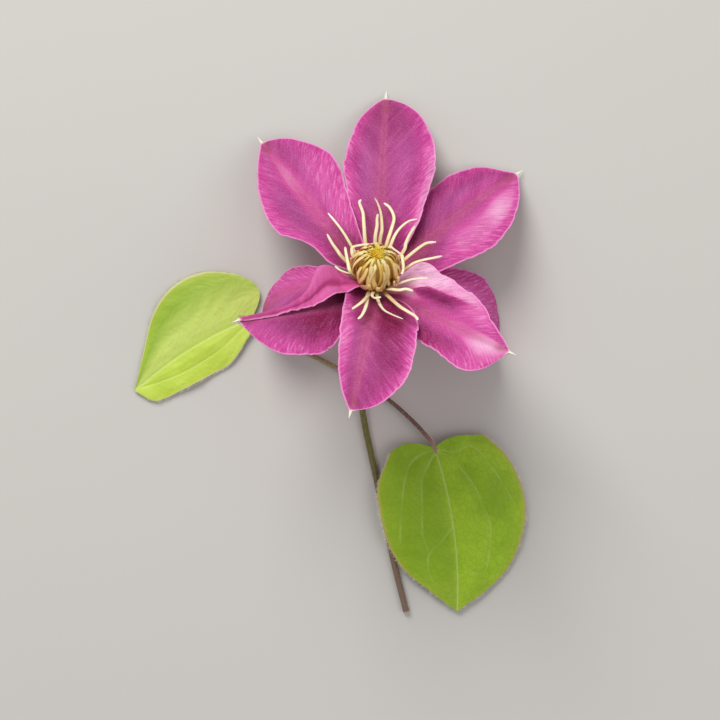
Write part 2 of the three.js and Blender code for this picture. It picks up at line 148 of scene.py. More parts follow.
def blade_directions(blade, shares):
    """Directions along the midrib, across the blade and out of its face."""
    inner = np.minimum(shares, 1)
    slope = np.radians(blade["rise"][0] + (blade["rise"][1] - blade["rise"][0]) * inner)
    heading = np.radians(blade["azimuth"] + blade["sway"] * (inner - 0.5))
    level = np.cos(slope)
    along = np.stack([level * np.cos(heading), level * np.sin(heading), np.sin(slope)], -1)
    across = np.stack([-np.sin(heading), np.cos(heading), np.zeros_like(heading)], -1)
    return along, across, np.cross(along, across)


def midrib_points(blade, shares, start):
    """Points along the midrib. A share past 1 lies on the straight bristle."""
    steps = 96
    along = blade_directions(blade, (np.arange(steps) + 0.5) / steps)[0]
    path = start + np.vstack([np.zeros(3), np.cumsum(along, axis=0) * blade["length"] / steps])
    place = np.minimum(shares, 1) * steps
    i = np.minimum(place.astype(int), steps - 1)
    here = path[i] + (path[i + 1] - path[i]) * (place - i)[:, None]
    past = np.maximum(shares - 1, 0) * blade["length"]
    return here + past[:, None] * blade_directions(blade, np.ones(1))[0]


def cross_section(blade, shares, acrosses, root_half_width):
    """How far out and up, in mm, the sheet has gone at each share of a half's width, and that width."""
    inner = np.minimum(shares, 1)
    out = np.zeros((len(shares), len(acrosses)))
    up = np.zeros_like(out)
    width = np.zeros_like(out)
    steps = 72
    roots = np.broadcast_to(root_half_width, 2)
    for side, half in enumerate(HALVES):
        columns = (acrosses < 0) == side
        reach = np.abs(acrosses[columns])
        place = reach[:, None] * (np.arange(steps) + 0.5) / steps
        angle = blade["lift"][side] * smooth(4 * place) + blade["curl"][side] * place
        angle = np.repeat(angle[None], len(shares), axis=0)
        for fold in blade.get("folds", ()):
            if fold["half"] == half:
                line = np.interp(inner, *zip(*fold["at"]))[:, None, None]
                turn = np.interp(inner, *zip(*fold["turn"]))[:, None, None]
                angle = angle + turn * smooth((place - line) / fold["spread"] + 0.5)
        half_width = along_stations(inner, roots[side], blade[half], TIP_HALF_WIDTH)[:, None]
        width[:, columns] = half_width
        out[:, columns] = np.cos(np.radians(angle)).mean(-1) * reach * half_width
        beat = np.sin(2 * np.pi * blade["waves"] * inner + blade["phase"] + 1.7 * side)[:, None]
        wave = blade["wave"] * reach**2 * beat * np.sin(np.pi * inner)[:, None]
        up[:, columns] = np.sin(np.radians(angle)).mean(-1) * reach * half_width + wave
    return out, up, width


# %% [markdown]
# ## Turning a grid of points into a thin sheet
#
# A sepal is a third of a millimetre thick, fleshier along its three ribs. Solidify would give one thickness
# and bunch up inside the folds, so the sheet's back is worked out point by point: each point of the face is
# moved inwards along its own normal by the thickness there, and a rim closes the two. Face and back have a
# material each.

# %% Sheet helper
def sheet(front, thickness):
    """Vertices and faces of a sheet under a grid of points. The faces on its back come last."""
    rows, columns = front.shape[:2]
    down = np.vstack([front[1:], front[-1:]]) - np.vstack([front[:1], front[:-1]])
    over = np.hstack([front[:, 1:], front[:, -1:]]) - np.hstack([front[:, :1], front[:, :-1]])
    normal = unit(np.cross(down, over))
    back = front - normal * np.broadcast_to(thickness, (rows, columns))[..., None]
    index = np.arange(rows * columns).reshape(rows, columns)
    under = index + rows * columns
    a, b, c, d = index[:-1, :-1], index[1:, :-1], index[1:, 1:], index[:-1, 1:]
    faces = [np.stack([a, b, c, d], -1).reshape(-1, 4)]
    faces.append(np.stack([index[:-1, 0], under[:-1, 0], under[1:, 0], index[1:, 0]], -1))
    faces.append(np.stack([index[1:, -1], under[1:, -1], under[:-1, -1], index[:-1, -1]], -1))
    faces.append(np.stack([index[0, 1:], under[0, 1:], under[0, :-1], index[0, :-1]], -1))
    faces.append(np.stack([index[-1, :-1], under[-1, :-1], under[-1, 1:], index[-1, 1:]], -1))
    faces.append(np.stack([a, d, c, b], -1).reshape(-1, 4) + rows * columns)
    return np.vstack([front.reshape(-1, 3), back.reshape(-1, 3)]), np.vstack(faces)


def set_values(mesh, values):
    """Attributes on the points of a mesh, each one number or three numbers a point."""
    for key, numbers in values.items():
        numbers = np.ascontiguousarray(numbers, np.float32)
        kind, field = ("FLOAT", "value") if numbers.ndim == 1 else ("FLOAT_VECTOR", "vector")
        mesh.attributes.new(key, kind, "POINT").data.foreach_set(field, numbers.ravel())


def add_object(name, mesh):
    thing = bpy.data.objects.new(name, mesh)
    bpy.context.scene.collection.objects.link(thing)
    return thing


def add_mesh(name, points, faces, values):
    """A smooth-shaded object from points in mm and faces."""
    mesh = bpy.data.meshes.new(name)
    mesh.from_pydata(points * MM, [], faces.tolist())
    set_values(mesh, values)
    mesh.shade_smooth()
    mesh.set_sharp_from_angle(angle=math.radians(50))
    return add_object(name, mesh)


def add_sheet(name, front, thickness, values):
    """A sheet from its grid and the attributes of the grid's points. Its back has the second material."""
    points, faces = sheet(front, thickness)
    shared = {}
    for key, numbers in values.items():
        flat = numbers.reshape(len(points) // 2, -1)
        shared[key] = np.vstack([flat, flat]).squeeze()
    piece = add_mesh(name, points, faces, shared)
    back_faces = (front.shape[0] - 1) * (front.shape[1] - 1)
    materials = np.zeros(len(faces), int)
    materials[-back_faces:] = 1
    piece.data.polygons.foreach_set("material_index", materials)
    return piece


def report(thing):
    """Prints a piece's size and how many triangles it has."""
    thing.data.calc_loop_triangles()
    corners = np.array([vertex.co for vertex in thing.data.vertices])
    size = (corners.max(0) - corners.min(0)) / MM
    print(f"{thing.name}: {size[0]:.1f} x {size[1]:.1f} x {size[2]:.1f} mm, "
          f"{len(thing.data.loop_triangles)} triangles")


# %% [markdown]
# ## The eight sepals
#
# These are the values that drive each sepal. azimuth is its direction in the bloom's own plane, rise the
# slope of the midrib at its root and tip, sway how far it turns aside on the way, and level lifts one sepal
# over its neighbour. ccw and cw are the half widths at the stations, of the half that lies counterclockwise
# of the midrib and of the other. lift turns each half up beside the midrib and curl bends it on, in
# degrees. A fold turns the sheet along a line, whose place across and whose turn follow from the share of
# the length. A lobe sets the base back beside the midrib, by so much for each mm out. A notch is a nick in
# the margin: its half, its share of the length and its depth. Each patch of painted light and painted
# shade gives its share and place across, its two radii and how strong it is: above 0 it paints light,
# below 0 it paints shade.

# %% Values of the sepals
SEPALS = {
    "sepal_top": dict(
        azimuth=87, length=70, rise=(26, 10), sway=0, level=0.1,
        ccw=(7, 10.5, 12, 14, 12.5, 9.5, 4.5), cw=(9, 14, 16.5, 19, 18, 14, 8),
        lift=(-4, 8), curl=(-12, -14), wave=0.8, waves=3, phase=0.3,
        painted_patches=((0.48, -1, 0.55, 0.36, 0.62), (0.5, 1, 0.5, 0.26, 0.4), (0.9, 0, 0.2, 1.2, -0.3),
                 (0.12, 0, 0.3, 1.2, -0.3), (0.5, -0.4, 0.3, 0.3, 0.15)),
        notches=(("ccw", 0.8, 0.8), ("ccw", 0.63, -0.7), ("cw", 0.83, 0.7), ("cw", 0.62, 0.4)),
    ),
    "sepal_upper_left": dict(
        azimuth=126, length=66, rise=(14, 4), sway=-9, level=3.5,
        ccw=(8.4, 10, 17, 15.7, 12, 6.5, 2.5), cw=(6, 9.5, 13.5, 17, 17, 12.5, 7),
        lift=(6, 20), curl=(-4, -16), wave=0.8, waves=2.6, phase=1.2,
        painted_patches=((0.48, -0.62, 0.5, 0.6, 0.46), (0.58, 0, 0.45, 0.28, 0.45), (0.5, 1, 0.45, 0.4, 0.3),
                 (0.8, 0.3, 0.25, 0.8, 0.25), (0.12, -0.1, 0.25, 1.2, -0.5)),
        notches=(("ccw", 0.43, -0.6), ("ccw", 0.78, 0.5), ("cw", 0.955, 0.5), ("cw", 0.8, 0.3)),
    ),
    "sepal_left_back": dict(
        azimuth=172, length=49, rise=(16, -80), sway=0, level=-1.4,
        ccw=(4, 8, 12, 14, 13, 9, 5), cw=(5, 7.2, 9, 10, 8.8, 6, 3.5),
        lift=(5, 5), curl=(0, 0), wave=0.5, waves=2, phase=0,
        painted_patches=((0.5, -0.6, 0.7, 1.2, 0.45),),
    ),
    "sepal_lower_left": dict(
        azimuth=216, length=57, rise=(24, 22), sway=-14, level=0.6, lilac=0.2,
        ccw=(5, 10, 15.5, 19.5, 18.5, 15, 8), cw=(21, 27.5, 13.5, 6.5, 4.2, 3.2, 2.2),
        lift=(-5, 45), curl=(0, 0), wave=0.4, waves=3, phase=0.6,
        folds=(
            dict(half="cw", at=((0, 0.5), (0.3, 0.52), (0.45, 0.5), (1, 0.46)),
                 turn=((0, 0), (0.06, 120), (0.2, 165), (1, 165)), spread=0.16),
            dict(half="cw", at=((0, 0.76), (0.3, 0.74), (0.45, 0.66), (1, 0.66)),
                 turn=((0, 0), (0.15, 55), (0.7, 45), (1, 0)), spread=0.07),
            dict(half="cw", at=((0, 0.84), (0.3, 0.82), (0.45, 0.74), (1, 0.74)),
                 turn=((0, 0), (0.15, -95), (0.7, -75), (1, 0)), spread=0.09),
        ),
        painted_patches=((0.25, 0.45, 0.5, 0.9, -1.0), (0.6, 0.35, 0.35, 0.45, -0.35), (0.85, 0.6, 0.25, 0.8, 0.35),
                 (0.4, -0.97, 0.7, 0.25, 0.45), (0.25, -0.5, 0.5, 0.5, 0.5)),
        notches=(("ccw", 0.93, 0.6), ("ccw", 0.55, 0.4), ("cw", 0.5, 0.6), ("cw", 0.66, 0.4)),
    ),
    "sepal_bottom": dict(
        azimuth=262.5, length=64, rise=(28, -2), sway=-6, level=1.7, lobe=(0.5, 1.4),
        ccw=(12, 16.3, 17, 17, 16, 11.5, 6.5), cw=(10, 10, 9.5, 8.5, 7, 4.5, 2),
        lift=(5, 14), curl=(-10, -10), wave=0.5, waves=3, phase=0, lilac=0.5,
        folds=(
            dict(half="cw", at=((0, 0.45), (0.35, 0.6)), turn=((0, 42), (0.2, 35), (0.42, 0)), spread=0.2),
        ),
        painted_patches=((0.42, -0.85, 0.55, 0.5, 0.5), (0.45, 0.5, 0.5, 0.45, -0.6), (0.08, 0.2, 0.46, 1.4, -1.0),
                 (0.6, 1, 0.5, 0.22, 0.5)),
        notches=(("ccw", 0.83, 0.9), ("ccw", 0.4, 0.4), ("cw", 0.5, 0.3)),
    ),
    "sepal_lower_right": dict(
        azimuth=318, length=57, rise=(18, 10), sway=8, level=1,
        lobe=(0.75, 0.55), lilac=0.2,
        ccw=(19, 20.5, 18.6, 14.5, 9, 5, 2.2), cw=(6, 9, 11.5, 12.6, 14.4, 14.4, 9.6),
        lift=(0, 0), curl=(0, 0), wave=0.4, waves=3, phase=0,
        folds=(
            dict(half="ccw", at=((0.08, 0.05), (0.2, 0.12), (0.3, 0.28), (0.45, 0.34), (0.62, 0.8)),
                 turn=((0.03, 0), (0.16, 60), (0.3, 75), (0.5, 75), (0.62, 40), (0.7, 0)), spread=0.12),
            dict(half="ccw", at=((0.08, 0.12), (0.2, 0.29), (0.3, 0.51), (0.45, 0.56), (0.62, 0.85)),
                 turn=((0.03, 0), (0.16, -135), (0.3, -165), (0.5, -165), (0.62, -80), (0.7, 0)),
                 spread=0.06),
            dict(half="ccw", at=((0.08, 0.17), (0.2, 0.36), (0.3, 0.6), (0.45, 0.65), (0.62, 0.88)),
                 turn=((0.03, 0), (0.16, 78), (0.3, 92), (0.5, 92), (0.62, 40), (0.7, 0)), spread=0.06),
        ),
        painted_patches=((0.12, 0.75, 0.36, 0.9, 1.0), (0.4, 0.95, 0.28, 0.4, 0.6), (0.68, 0, 0.45, 0.6, 0.5),
                 (0.66, 0.72, 0.3, 0.5, 0.5), (0.93, -0.3, 0.28, 1.2, 0.5), (0.42, -0.75, 0.35, 0.45, -0.75),
                 (0.32, 0.36, 0.22, 0.16, -0.4), (0.08, -0.4, 0.32, 0.6, -1.0), (0.1, 0.2, 0.2, 0.14, 0.5)),
        notches=(("ccw", 0.74, 0.6), ("cw", 0.5, 0.4), ("cw", 0.72, 0.4)),
    ),
    "sepal_right_back": dict(
        azimuth=357, length=59, rise=(10, -90), sway=0, level=-2.6,
        ccw=(8, 13.5, 16.5, 17.5, 15.5, 11, 5.5), cw=(4, 8, 11, 11, 8, 4, 2),
        lift=(5, 5), curl=(0, 0), wave=0.5, waves=2, phase=0,
        painted_patches=((0.5, 0.5, 0.8, 1.2, 0.42),),
    ),
    "sepal_upper_right": dict(
        azimuth=44, length=67, rise=(18, -6), sway=-4, level=-1.8,
        ccw=(7, 10.5, 12.5, 15, 13.5, 10, 3.5), cw=(8.5, 13.2, 16.4, 18, 15, 9.5, 4),
        lift=(10, -6), curl=(-5, 0), wave=0.6, waves=3, phase=0,
        painted_patches=((0.54, -0.55, 0.46, 0.6, 0.52), (0.85, -0.5, 0.25, 0.7, 0.4), (0.12, 0.1, 0.38, 1.3, -1.0),
                 (0.6, 0.65, 0.45, 0.5, -0.2), (0.75, 0.3, 0.25, 0.4, 0.25)),
        notches=(("ccw", 0.965, 0.8), ("cw", 0.8, 0.8), ("cw", 0.6, 0.4)),
    ),
}
print("lengths in mm:", ", ".join(f"{name} {sepal['length']}" for name, sepal in SEPALS.items()))

# %% [markdown]
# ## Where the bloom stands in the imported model
#
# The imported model's origin lies below the middle of the whole flower, and the bloom's base is off to one
# side of it. The place isn't copied as a number. One sepal is made with the coarse grid of its packed
# solid, and the two boxes differ by the place that is looked for.

# %% Place of the bloom's base
def from_bloom(points):
    """Points in the bloom's frame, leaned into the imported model's frame with the base at x = y = 0."""
    x, y, z = np.moveaxis(np.asarray(points, float), -1, 0)
    lean, upright = math.sin(BLOOM_LEAN), math.cos(BLOOM_LEAN)
    return np.stack([x, y * upright + z * lean, z * upright - y * lean + BLOOM_HEIGHT], -1)


def sepal_grid(sepal, shares, acrosses, stretch=1.0, relief=0.0):
    """The face of a sepal, one row for each share. stretch widens it, and relief lifts it in mm."""
    turn = math.radians(sepal["azimuth"])
    start = np.array([CLAW_RADIUS * math.cos(turn), CLAW_RADIUS * math.sin(turn), sepal["level"]])
    middles = midrib_points(sepal, shares, start)
    along, across, face = blade_directions(sepal, shares)
    out, up, _ = cross_section(sepal, shares, acrosses, CLAW_HALF_WIDTH)
    sideways = (np.sign(acrosses) * out * stretch)[..., None] * across[:, None]
    lobe = np.where(acrosses >= 0, *sepal.get("lobe", (0, 0)))
    back = lobe * out * np.maximum(1 - shares, 0)[:, None] ** 3
    sideways = sideways - back[..., None] * along[:, None]
    return from_bloom(middles[:, None] + sideways + (up * stretch + relief)[..., None] * face[:, None])


solid_top = SEPALS["sepal_top"]
solid_shares = np.array([*np.linspace(0, 0.9, 15), 0.95, 0.985, 1, 1 + BRISTLE_LENGTH / solid_top["length"]])
solid_points = sheet(sepal_grid(solid_top, solid_shares, np.linspace(-1, 1, 11)), SOLID_THICKNESS)[0]
packed_low, packed_high = (np.array(corner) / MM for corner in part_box("sepal_top"))
BASE = (packed_low + packed_high - solid_points.min(0) - solid_points.max(0)) / 2
print("bloom's base in the packed model, mm:", np.round(BASE, 3))

# %% [markdown]
# ## Fine relief of a sepal
#
# Close up, a sepal has three ribs along its middle, veins that leave them at a slant and reach the margin
# near the tip, a margin that is finely frilled and scalloped, and a faint pucker between the veins. The
# ribs, frill, scallops and pucker are real geometry. The veins are too fine for that, so each point gets
# its place along them in an attribute, and the material draws them from it.

# %% Sepal relief
BAR_RIB_SPACING = 1.5
FRILL_HEIGHT = 0.14
SCALLOP_DEPTH = 0.13
PUCKER_HEIGHT = 0.16
VEIN_SPACING = 1.15
VEIN_SLANT = 1.25


def ripple(share, beats, draws):
    """Sum of waves with as many beats in the length as given, each with a drawn phase."""
    return sum(np.sin(2 * np.pi * (beat * share + draw)) / (1 + k) for k, (beat, draw) in
               enumerate(zip(beats, draws)))


def bar_half_width(shares):
    """Half width in mm of the rosy bar along the middle."""
    return 1.1 + 5.5 * np.maximum(1 - shares, 0) ** 0.8


def rib_spacing(place):
    """How far in mm the two outer ribs lie from the middle one."""
    return BAR_RIB_SPACING * np.maximum(1 - place, 0) ** 0.5


def vein_place(sepal, shares, reach):
    """Where the vein through each point left the ribs, in mm. Veins leave at a slant and turn out."""
    return sepal["length"] * shares[:, None] - VEIN_SLANT * reach * (1.3 - reach / 55)


def margin_stretch(sepal, shares, acrosses, draws):
    """How much wider or narrower than its smooth outline the sepal is, all of it close to the margin."""
    stretch = np.ones((len(shares), len(acrosses)))
    for side, half in enumerate(HALVES):
        columns = (acrosses < 0) == side
        change = SCALLOP_DEPTH * ripple(shares, (7, 17, 31), draws[3 * side:3 * side + 3])
        for notch_half, place, depth in sepal.get("notches", ()):
            if notch_half == half:
                change = change - depth * near(shares, place, 0.022)
        width = np.maximum(along_stations(np.minimum(shares, 1), 1, sepal[half], 1), 2)
        amount = (change / width * near(shares, 0.5, 0.52))[:, None]
        stretch[:, columns] += amount * np.abs(acrosses[columns]) ** 5
    return stretch


def sepal_relief(sepal, shares, acrosses, width, draws):
    """Height in mm of ribs, frill and pucker over the smooth face."""
    reach = acrosses * width
    place = shares[:, None]
    groove = near(reach, 0, 0.5) + near(np.abs(reach), rib_spacing(place), 0.45)
    ribs = -0.09 * groove * smooth((1.02 - place) / 0.1)
    phase = np.where(acrosses < 0, draws[0], draws[1])
    frill = np.sin(2 * np.pi * (15 * place + phase)) + 0.6 * np.sin(2 * np.pi * (26 * place + 2 * phase))
    frill = FRILL_HEIGHT * frill * np.abs(acrosses) ** 9 * near(place, 0.55, 0.5)
    veins = vein_place(sepal, shares, np.abs(reach))
    pucker = np.sin(veins / 1.9 + 6 * phase) + np.sin(veins / 1.1 + 11 * phase) * 0.5
    pucker = PUCKER_HEIGHT * pucker * smooth(np.abs(acrosses) * 1.6) * near(place, 0.6, 0.5)
    return ribs + frill + pucker


# %% [markdown]
# ## Colour zones of a sepal
#
# The eye reads several zones on each sepal: a rosy bar over the ribs, a deep crimson root, a lilac cast
# beside the bar, warmer pink towards the margin, a pale rim and an ivory bristle. The zones follow the
# sepal's own shape, so they are worked out on the grid and kept as attributes for the material.

# %% Sepal zones
def sepal_zones(sepal, shares, acrosses, width):
    """Attributes of each point: flow along the veins, colour zones, and painted light and shade."""
    reach = np.abs(acrosses * width)
    place = np.broadcast_to(shares[:, None], reach.shape)
    bar_width = bar_half_width(shares)[:, None]
    bar = smooth((bar_width - reach) / bar_width * 1.1)
    root = smooth(1 - place / (0.3 + 0.2 * bar)) * smooth(1.5 - reach / 14)
    rim = smooth((reach - width + 0.8) / 0.6)
    lilac = sepal.get("lilac", 0.8) * near(reach / width, 0.42, 0.4) * near(place, 0.58, 0.42)
    flank = smooth((reach / width - 0.15) / 0.35)
    warm = smooth((reach / width - 0.35) / 0.6)
    bristle = smooth((place - 0.985) / 0.02)
    ribs = near(reach, rib_spacing(place), 0.6) * near(place, 0.6, 0.42)
    tip_spot = near(place, 0.94, 0.06) * near(reach, 0, 3)
    # Patches of painted light and painted shade, summed on each point
    painted_light_and_shade = np.zeros_like(reach)
    for at, side, long_radius, side_radius, amount in sepal["painted_patches"]:
        away = np.hypot((place - at) / long_radius, (acrosses - side) / side_radius)
        painted_light_and_shade += amount * smooth(1.35 * (1 - away))
    flow = np.stack([
        vein_place(sepal, shares, reach) / VEIN_SPACING,
        acrosses * width / VEIN_SPACING,
        np.full(reach.shape, float(sepal["azimuth"])),
    ], -1)
    return {
        "flow": flow,
        "zones": np.stack([bar, root, rim], -1),
        "tints": np.stack([lilac, warm, bristle], -1),
        "marks": np.stack([ribs, tip_spot, flank], -1),
        "painted_light_and_shade": np.clip(painted_light_and_shade, -1, 1),
    }


# %% [markdown]
# ## Making the sepals
#
# Rows are closer together towards the tip, where the outline turns fast, and columns towards the margin. The
# folded sepals get more columns so that their folds stay round. The bristle at the end is the midrib running
# on past the blade, so it belongs to the same mesh and only tapers.

# %% Make the sepals
LOWER_ROWS = 104
TIP_ROWS = 30
BRISTLE_ROWS = 7
HALF_COLUMNS = 34
FOLDED_HALF_COLUMNS = 48
COLUMN_CROWDING = 1.2


def sepal_thickness(shares, acrosses, width):
    reach = np.abs(acrosses * width)
    fleshy = near(reach, 0, 2.5) * 0.25
    blade = 0.18 + 0.14 * smooth((1 - np.abs(acrosses)) * 4) + fleshy
    taper = np.interp(shares, [0, 0.97, 1, 1.05], [1, 1, 1.6, 0.5])[:, None]
    return blade * taper


def make_sepal(name, seed):
    sepal = SEPALS[name]
    draws = np.random.default_rng(seed).random(8)
    bristle = 1 + BRISTLE_LENGTH / sepal["length"] * np.linspace(0, 1, BRISTLE_ROWS)[1:]
    shares = np.array([*np.linspace(0, 0.9, LOWER_ROWS)[:-1], *np.linspace(0.9, 1, TIP_ROWS), *bristle])
    half_columns = FOLDED_HALF_COLUMNS if sepal.get("folds") else HALF_COLUMNS
    even = np.linspace(-1, 1, 2 * half_columns + 1)
    acrosses = np.sin(even * COLUMN_CROWDING) / math.sin(COLUMN_CROWDING)
    width = cross_section(sepal, shares, acrosses, CLAW_HALF_WIDTH)[2]
    stretch = margin_stretch(sepal, shares, acrosses, draws)
    past = smooth((shares - 1) / (bristle[-1] - 1))[:, None]
    stretch = stretch * (1 - 0.8 * past)
    relief = sepal_relief(sepal, shares, acrosses, width, draws)
    front = sepal_grid(sepal, shares, acrosses, stretch, relief) + BASE
    thickness = sepal_thickness(shares, acrosses, width) * (1 - 0.6 * past)
    piece = add_sheet(name, front, thickness, sepal_zones(sepal, shares, acrosses, width))
    report(piece)
    return piece


sepals = {name: make_sepal(name, 11 + k) for k, name in enumerate(SEPALS)}

# %% [markdown]
# ## Building node trees
#
# Stamens, stalks, hairs and every material are node trees, written out in the script so that each size in
# them can be named. One helper adds a node with its settings and inputs. Two more start a geometry tree
# with named inputs and end it: the result is made real faces, because the export drops instances.

# %% Node helper
def add_node(tree, kind, inputs=None, **settings):
    """One node. inputs maps a socket's name to a value, a socket, or a node whose first output is taken."""
    node = tree.nodes.new(kind)
    for key, value in settings.items():
        setattr(node, key, value)
    for key, value in (inputs or {}).items():
        sockets = [socket for socket in node.inputs if socket.enabled]
        socket = sockets[key] if isinstance(key, int) else next(s for s in sockets if s.name == key)
        if isinstance(value, bpy.types.Node):
            value = next(output for output in value.outputs if output.enabled)
        if isinstance(value, bpy.types.NodeSocket):
            tree.links.new(value, socket)
        else:
            socket.default_value = value
    return node


def new_tree(name, sockets):
    """A geometry tree with its named inputs, and the nodes that stand for its input and output."""
    tree = bpy.data.node_groups.new(name, "GeometryNodeTree")
    for label, kind in sockets.items():
        tree.interface.new_socket(label, in_out="INPUT", socket_type=kind)
    tree.interface.new_socket("Geometry", in_out="OUTPUT", socket_type="NodeSocketGeometry")
    return tree, add_node(tree, "NodeGroupInput").outputs, add_node(tree, "NodeGroupOutput")


def finish_tree(tree, geometry, material, end):
    """The last nodes of every tree: real faces instead of instances, shaded smooth, with a material."""
    real = add_node(tree, "GeometryNodeRealizeInstances", {"Geometry": geometry})
    shaded = add_node(tree, "GeometryNodeSetShadeSmooth", {"Geometry": real})
    named = add_node(tree, "GeometryNodeSetMaterial", {"Geometry": shaded, "Material": material})
    tree.links.new(named.outputs[0], end.inputs[0])


# %% [markdown]
# ## A tree that sweeps a section along paths
#
# Stamens, stem and petioles all follow a path, and one tree makes them. It turns edges into curves, gives
# each point its own outward direction, and sweeps a section that can be flat, grooved or ribbed, scaled by
# the half width that each point carries. A curve object with a bevel would do for the stem, but it can't
# turn a flat strap to face outwards all along its path.

# %% The sweep tree
def sweep_tree():
    tree, given, end = new_tree("Section along each path", {
        "Paths": "NodeSocketGeometry",
        "Sides": "NodeSocketInt",
        "Flatness": "NodeSocketFloat",
        "Groove": "NodeSocketFloat",
        "Ribs": "NodeSocketFloat",
        "Rib depth": "NodeSocketFloat",
        "Material": "NodeSocketMaterial",
    })
    circle = add_node(tree, "GeometryNodeCurvePrimitiveCircle", {
        "Resolution": given["Sides"], "Radius": 1.0})
    place = add_node(tree, "ShaderNodeSeparateXYZ", {"Vector": add_node(tree, "GeometryNodeInputPosition")})
    x, y = place.outputs["X"], place.outputs["Y"]
    turn = add_node(tree, "ShaderNodeMath", {0: y, 1: x}, operation="ARCTAN2")
    beat = add_node(tree, "ShaderNodeMath", {0: turn, 1: given["Ribs"]}, operation="MULTIPLY")
    rib = add_node(tree, "ShaderNodeMath", {0: beat}, operation="COSINE")
    swell = add_node(tree, "ShaderNodeMath", {0: rib, 1: given["Rib depth"], 2: 1.0},
                     operation="MULTIPLY_ADD")
    square = add_node(tree, "ShaderNodeMath", {0: y, 1: y}, operation="MULTIPLY")
    middle = add_node(tree, "ShaderNodeMath", {0: 1.0, 1: square}, operation="SUBTRACT")
    face = add_node(tree, "ShaderNodeMath", {0: x, 1: 0.0}, operation="MAXIMUM")
    trough = add_node(tree, "ShaderNodeMath", {0: middle, 1: face}, operation="MULTIPLY")
    dip = add_node(tree, "ShaderNodeMath", {0: trough, 1: given["Groove"]}, operation="MULTIPLY")
    flat = add_node(tree, "ShaderNodeMath", {0: x, 1: given["Flatness"]}, operation="MULTIPLY")
    thick = add_node(tree, "ShaderNodeMath", {0: flat, 1: dip}, operation="SUBTRACT")
    section_place = add_node(tree, "ShaderNodeCombineXYZ", {
        "X": add_node(tree, "ShaderNodeMath", {0: thick, 1: swell}, operation="MULTIPLY"),
        "Y": add_node(tree, "ShaderNodeMath", {0: y, 1: swell}, operation="MULTIPLY"),
    })
    marked = add_node(tree, "GeometryNodeStoreNamedAttribute", {
        "Geometry": circle, "Name": "across", "Value": y,
    }, data_type="FLOAT", domain="POINT")
    section = add_node(tree, "GeometryNodeSetPosition", {"Geometry": marked, "Position": section_place})
    curve = add_node(tree, "GeometryNodeMeshToCurve", {"Mesh": given["Paths"]})
    outwards = add_node(tree, "GeometryNodeInputNamedAttribute", {"Name": "outwards"},
                        data_type="FLOAT_VECTOR")
    turned = add_node(tree, "GeometryNodeSetCurveNormal", {"Curve": curve, "Normal": outwards}, mode="FREE")
    half_width = add_node(tree, "GeometryNodeInputNamedAttribute", {"Name": "half_width"}, data_type="FLOAT")
    swept = add_node(tree, "GeometryNodeCurveToMesh", {
        "Curve": turned, "Profile Curve": section, "Scale": half_width, "Fill Caps": True,
    })
    finish_tree(tree, swept, given["Material"], end)
    return tree


SWEEP = sweep_tree()
print("sweep tree:", len(SWEEP.nodes), "nodes")

# %% [markdown]
# ## Running a tree
#
# The paths go in as a mesh of edges whose points carry the half width and the outward direction. The
# modifier is given its inputs, the result is copied as a plain mesh, and the carrier is thrown away.

# %% Run a tree on paths
def path_mesh(name, paths):
    """Edges along each path. A path holds points and half widths in mm, outward directions and values."""
    counts = [len(path["points"]) for path in paths]
    ends = np.cumsum(counts)
    edges = [(i, i + 1) for count, end in zip(counts, ends) for i in range(end - count, end - 1)]
    outwards = []
    for path in paths:
        tangent = unit(np.gradient(path["points"], axis=0))
        facing = np.broadcast_to(path["outwards"], tangent.shape)
        outwards.append(unit(facing - (facing * tangent).sum(-1, keepdims=True) * tangent))
    mesh = bpy.data.meshes.new(name)
    mesh.from_pydata(np.vstack([path["points"] for path in paths]) * MM, edges, [])
    set_values(mesh, {
        "half_width": np.concatenate([path["half_width"] for path in paths]) * MM,
        "outwards": np.vstack(outwards),
        "strap": np.vstack([path["strap"] for path in paths]),
    })
    return mesh


def grown(name, tree, source, inputs):
    """What a tree makes of a source mesh, kept as a plain mesh object."""
    carrier = add_object(name, source)
    modifier = carrier.modifiers.new("Growth", "NODES")
    modifier.node_group = tree
    identifiers = {item.name: item.identifier for item in tree.interface.items_tree}
    for label, value in inputs.items():
        modifier[identifiers[label]] = value
    result = carrier.evaluated_get(bpy.context.evaluated_depsgraph_get())
    mesh = bpy.data.meshes.new_from_object(result)
    bpy.data.objects.remove(carrier)
    mesh.set_sharp_from_angle(angle=math.radians(60))
    return add_object(name, mesh)


def joined(name, parts):
    """One object out of several, with all their materials."""
    with bpy.context.temp_override(active_object=parts[0], selected_editable_objects=parts):
        bpy.ops.object.join()
    parts[0].name = name
    return parts[0]


# %% [markdown]
# ## Materials: colours and layers
#
# Every colour is an sRGB hex value as read off a screen, and one function turns it to the linear value that
# a shader takes. Plant tissue never has one flat colour, so each material stacks tints over a base colour,
# each tint shown by a mask that comes from an attribute or a noise pattern. A fine bump ends each material.

# %% Material helpers
def colour(hex_value):
    parts = [int(hex_value[i:i + 2], 16) / 255 for i in (1, 3, 5)]
    return [c / 12.92 if c <= 0.04045 else ((c + 0.055) / 1.055) ** 2.4 for c in parts] + [1]


def new_material(name, roughness, sheen=0.0, specular=0.5):
    """An empty plant material: its node tree and its shader."""
    material = bpy.data.materials.new(name)
    material.use_nodes = True
    shader = material.node_tree.nodes["Principled BSDF"]
    shader.inputs["Roughness"].default_value = roughness
    shader.inputs["Sheen Weight"].default_value = sheen
    shader.inputs["Sheen Roughness"].default_value = 0.5
    shader.inputs["Specular IOR Level"].default_value = specular
    return material, material.node_tree, shader


def stored_masks(tree, stored):
    """Masks from attributes. stored has a name for each of the three numbers that an attribute holds."""
    masks = {}
    for attribute, labels in stored.items():
        vector = add_node(tree, "ShaderNodeAttribute", attribute_name=attribute).outputs["Vector"]
        masks.update(zip(labels, add_node(tree, "ShaderNodeSeparateXYZ", {0: vector}).outputs))
    return masks


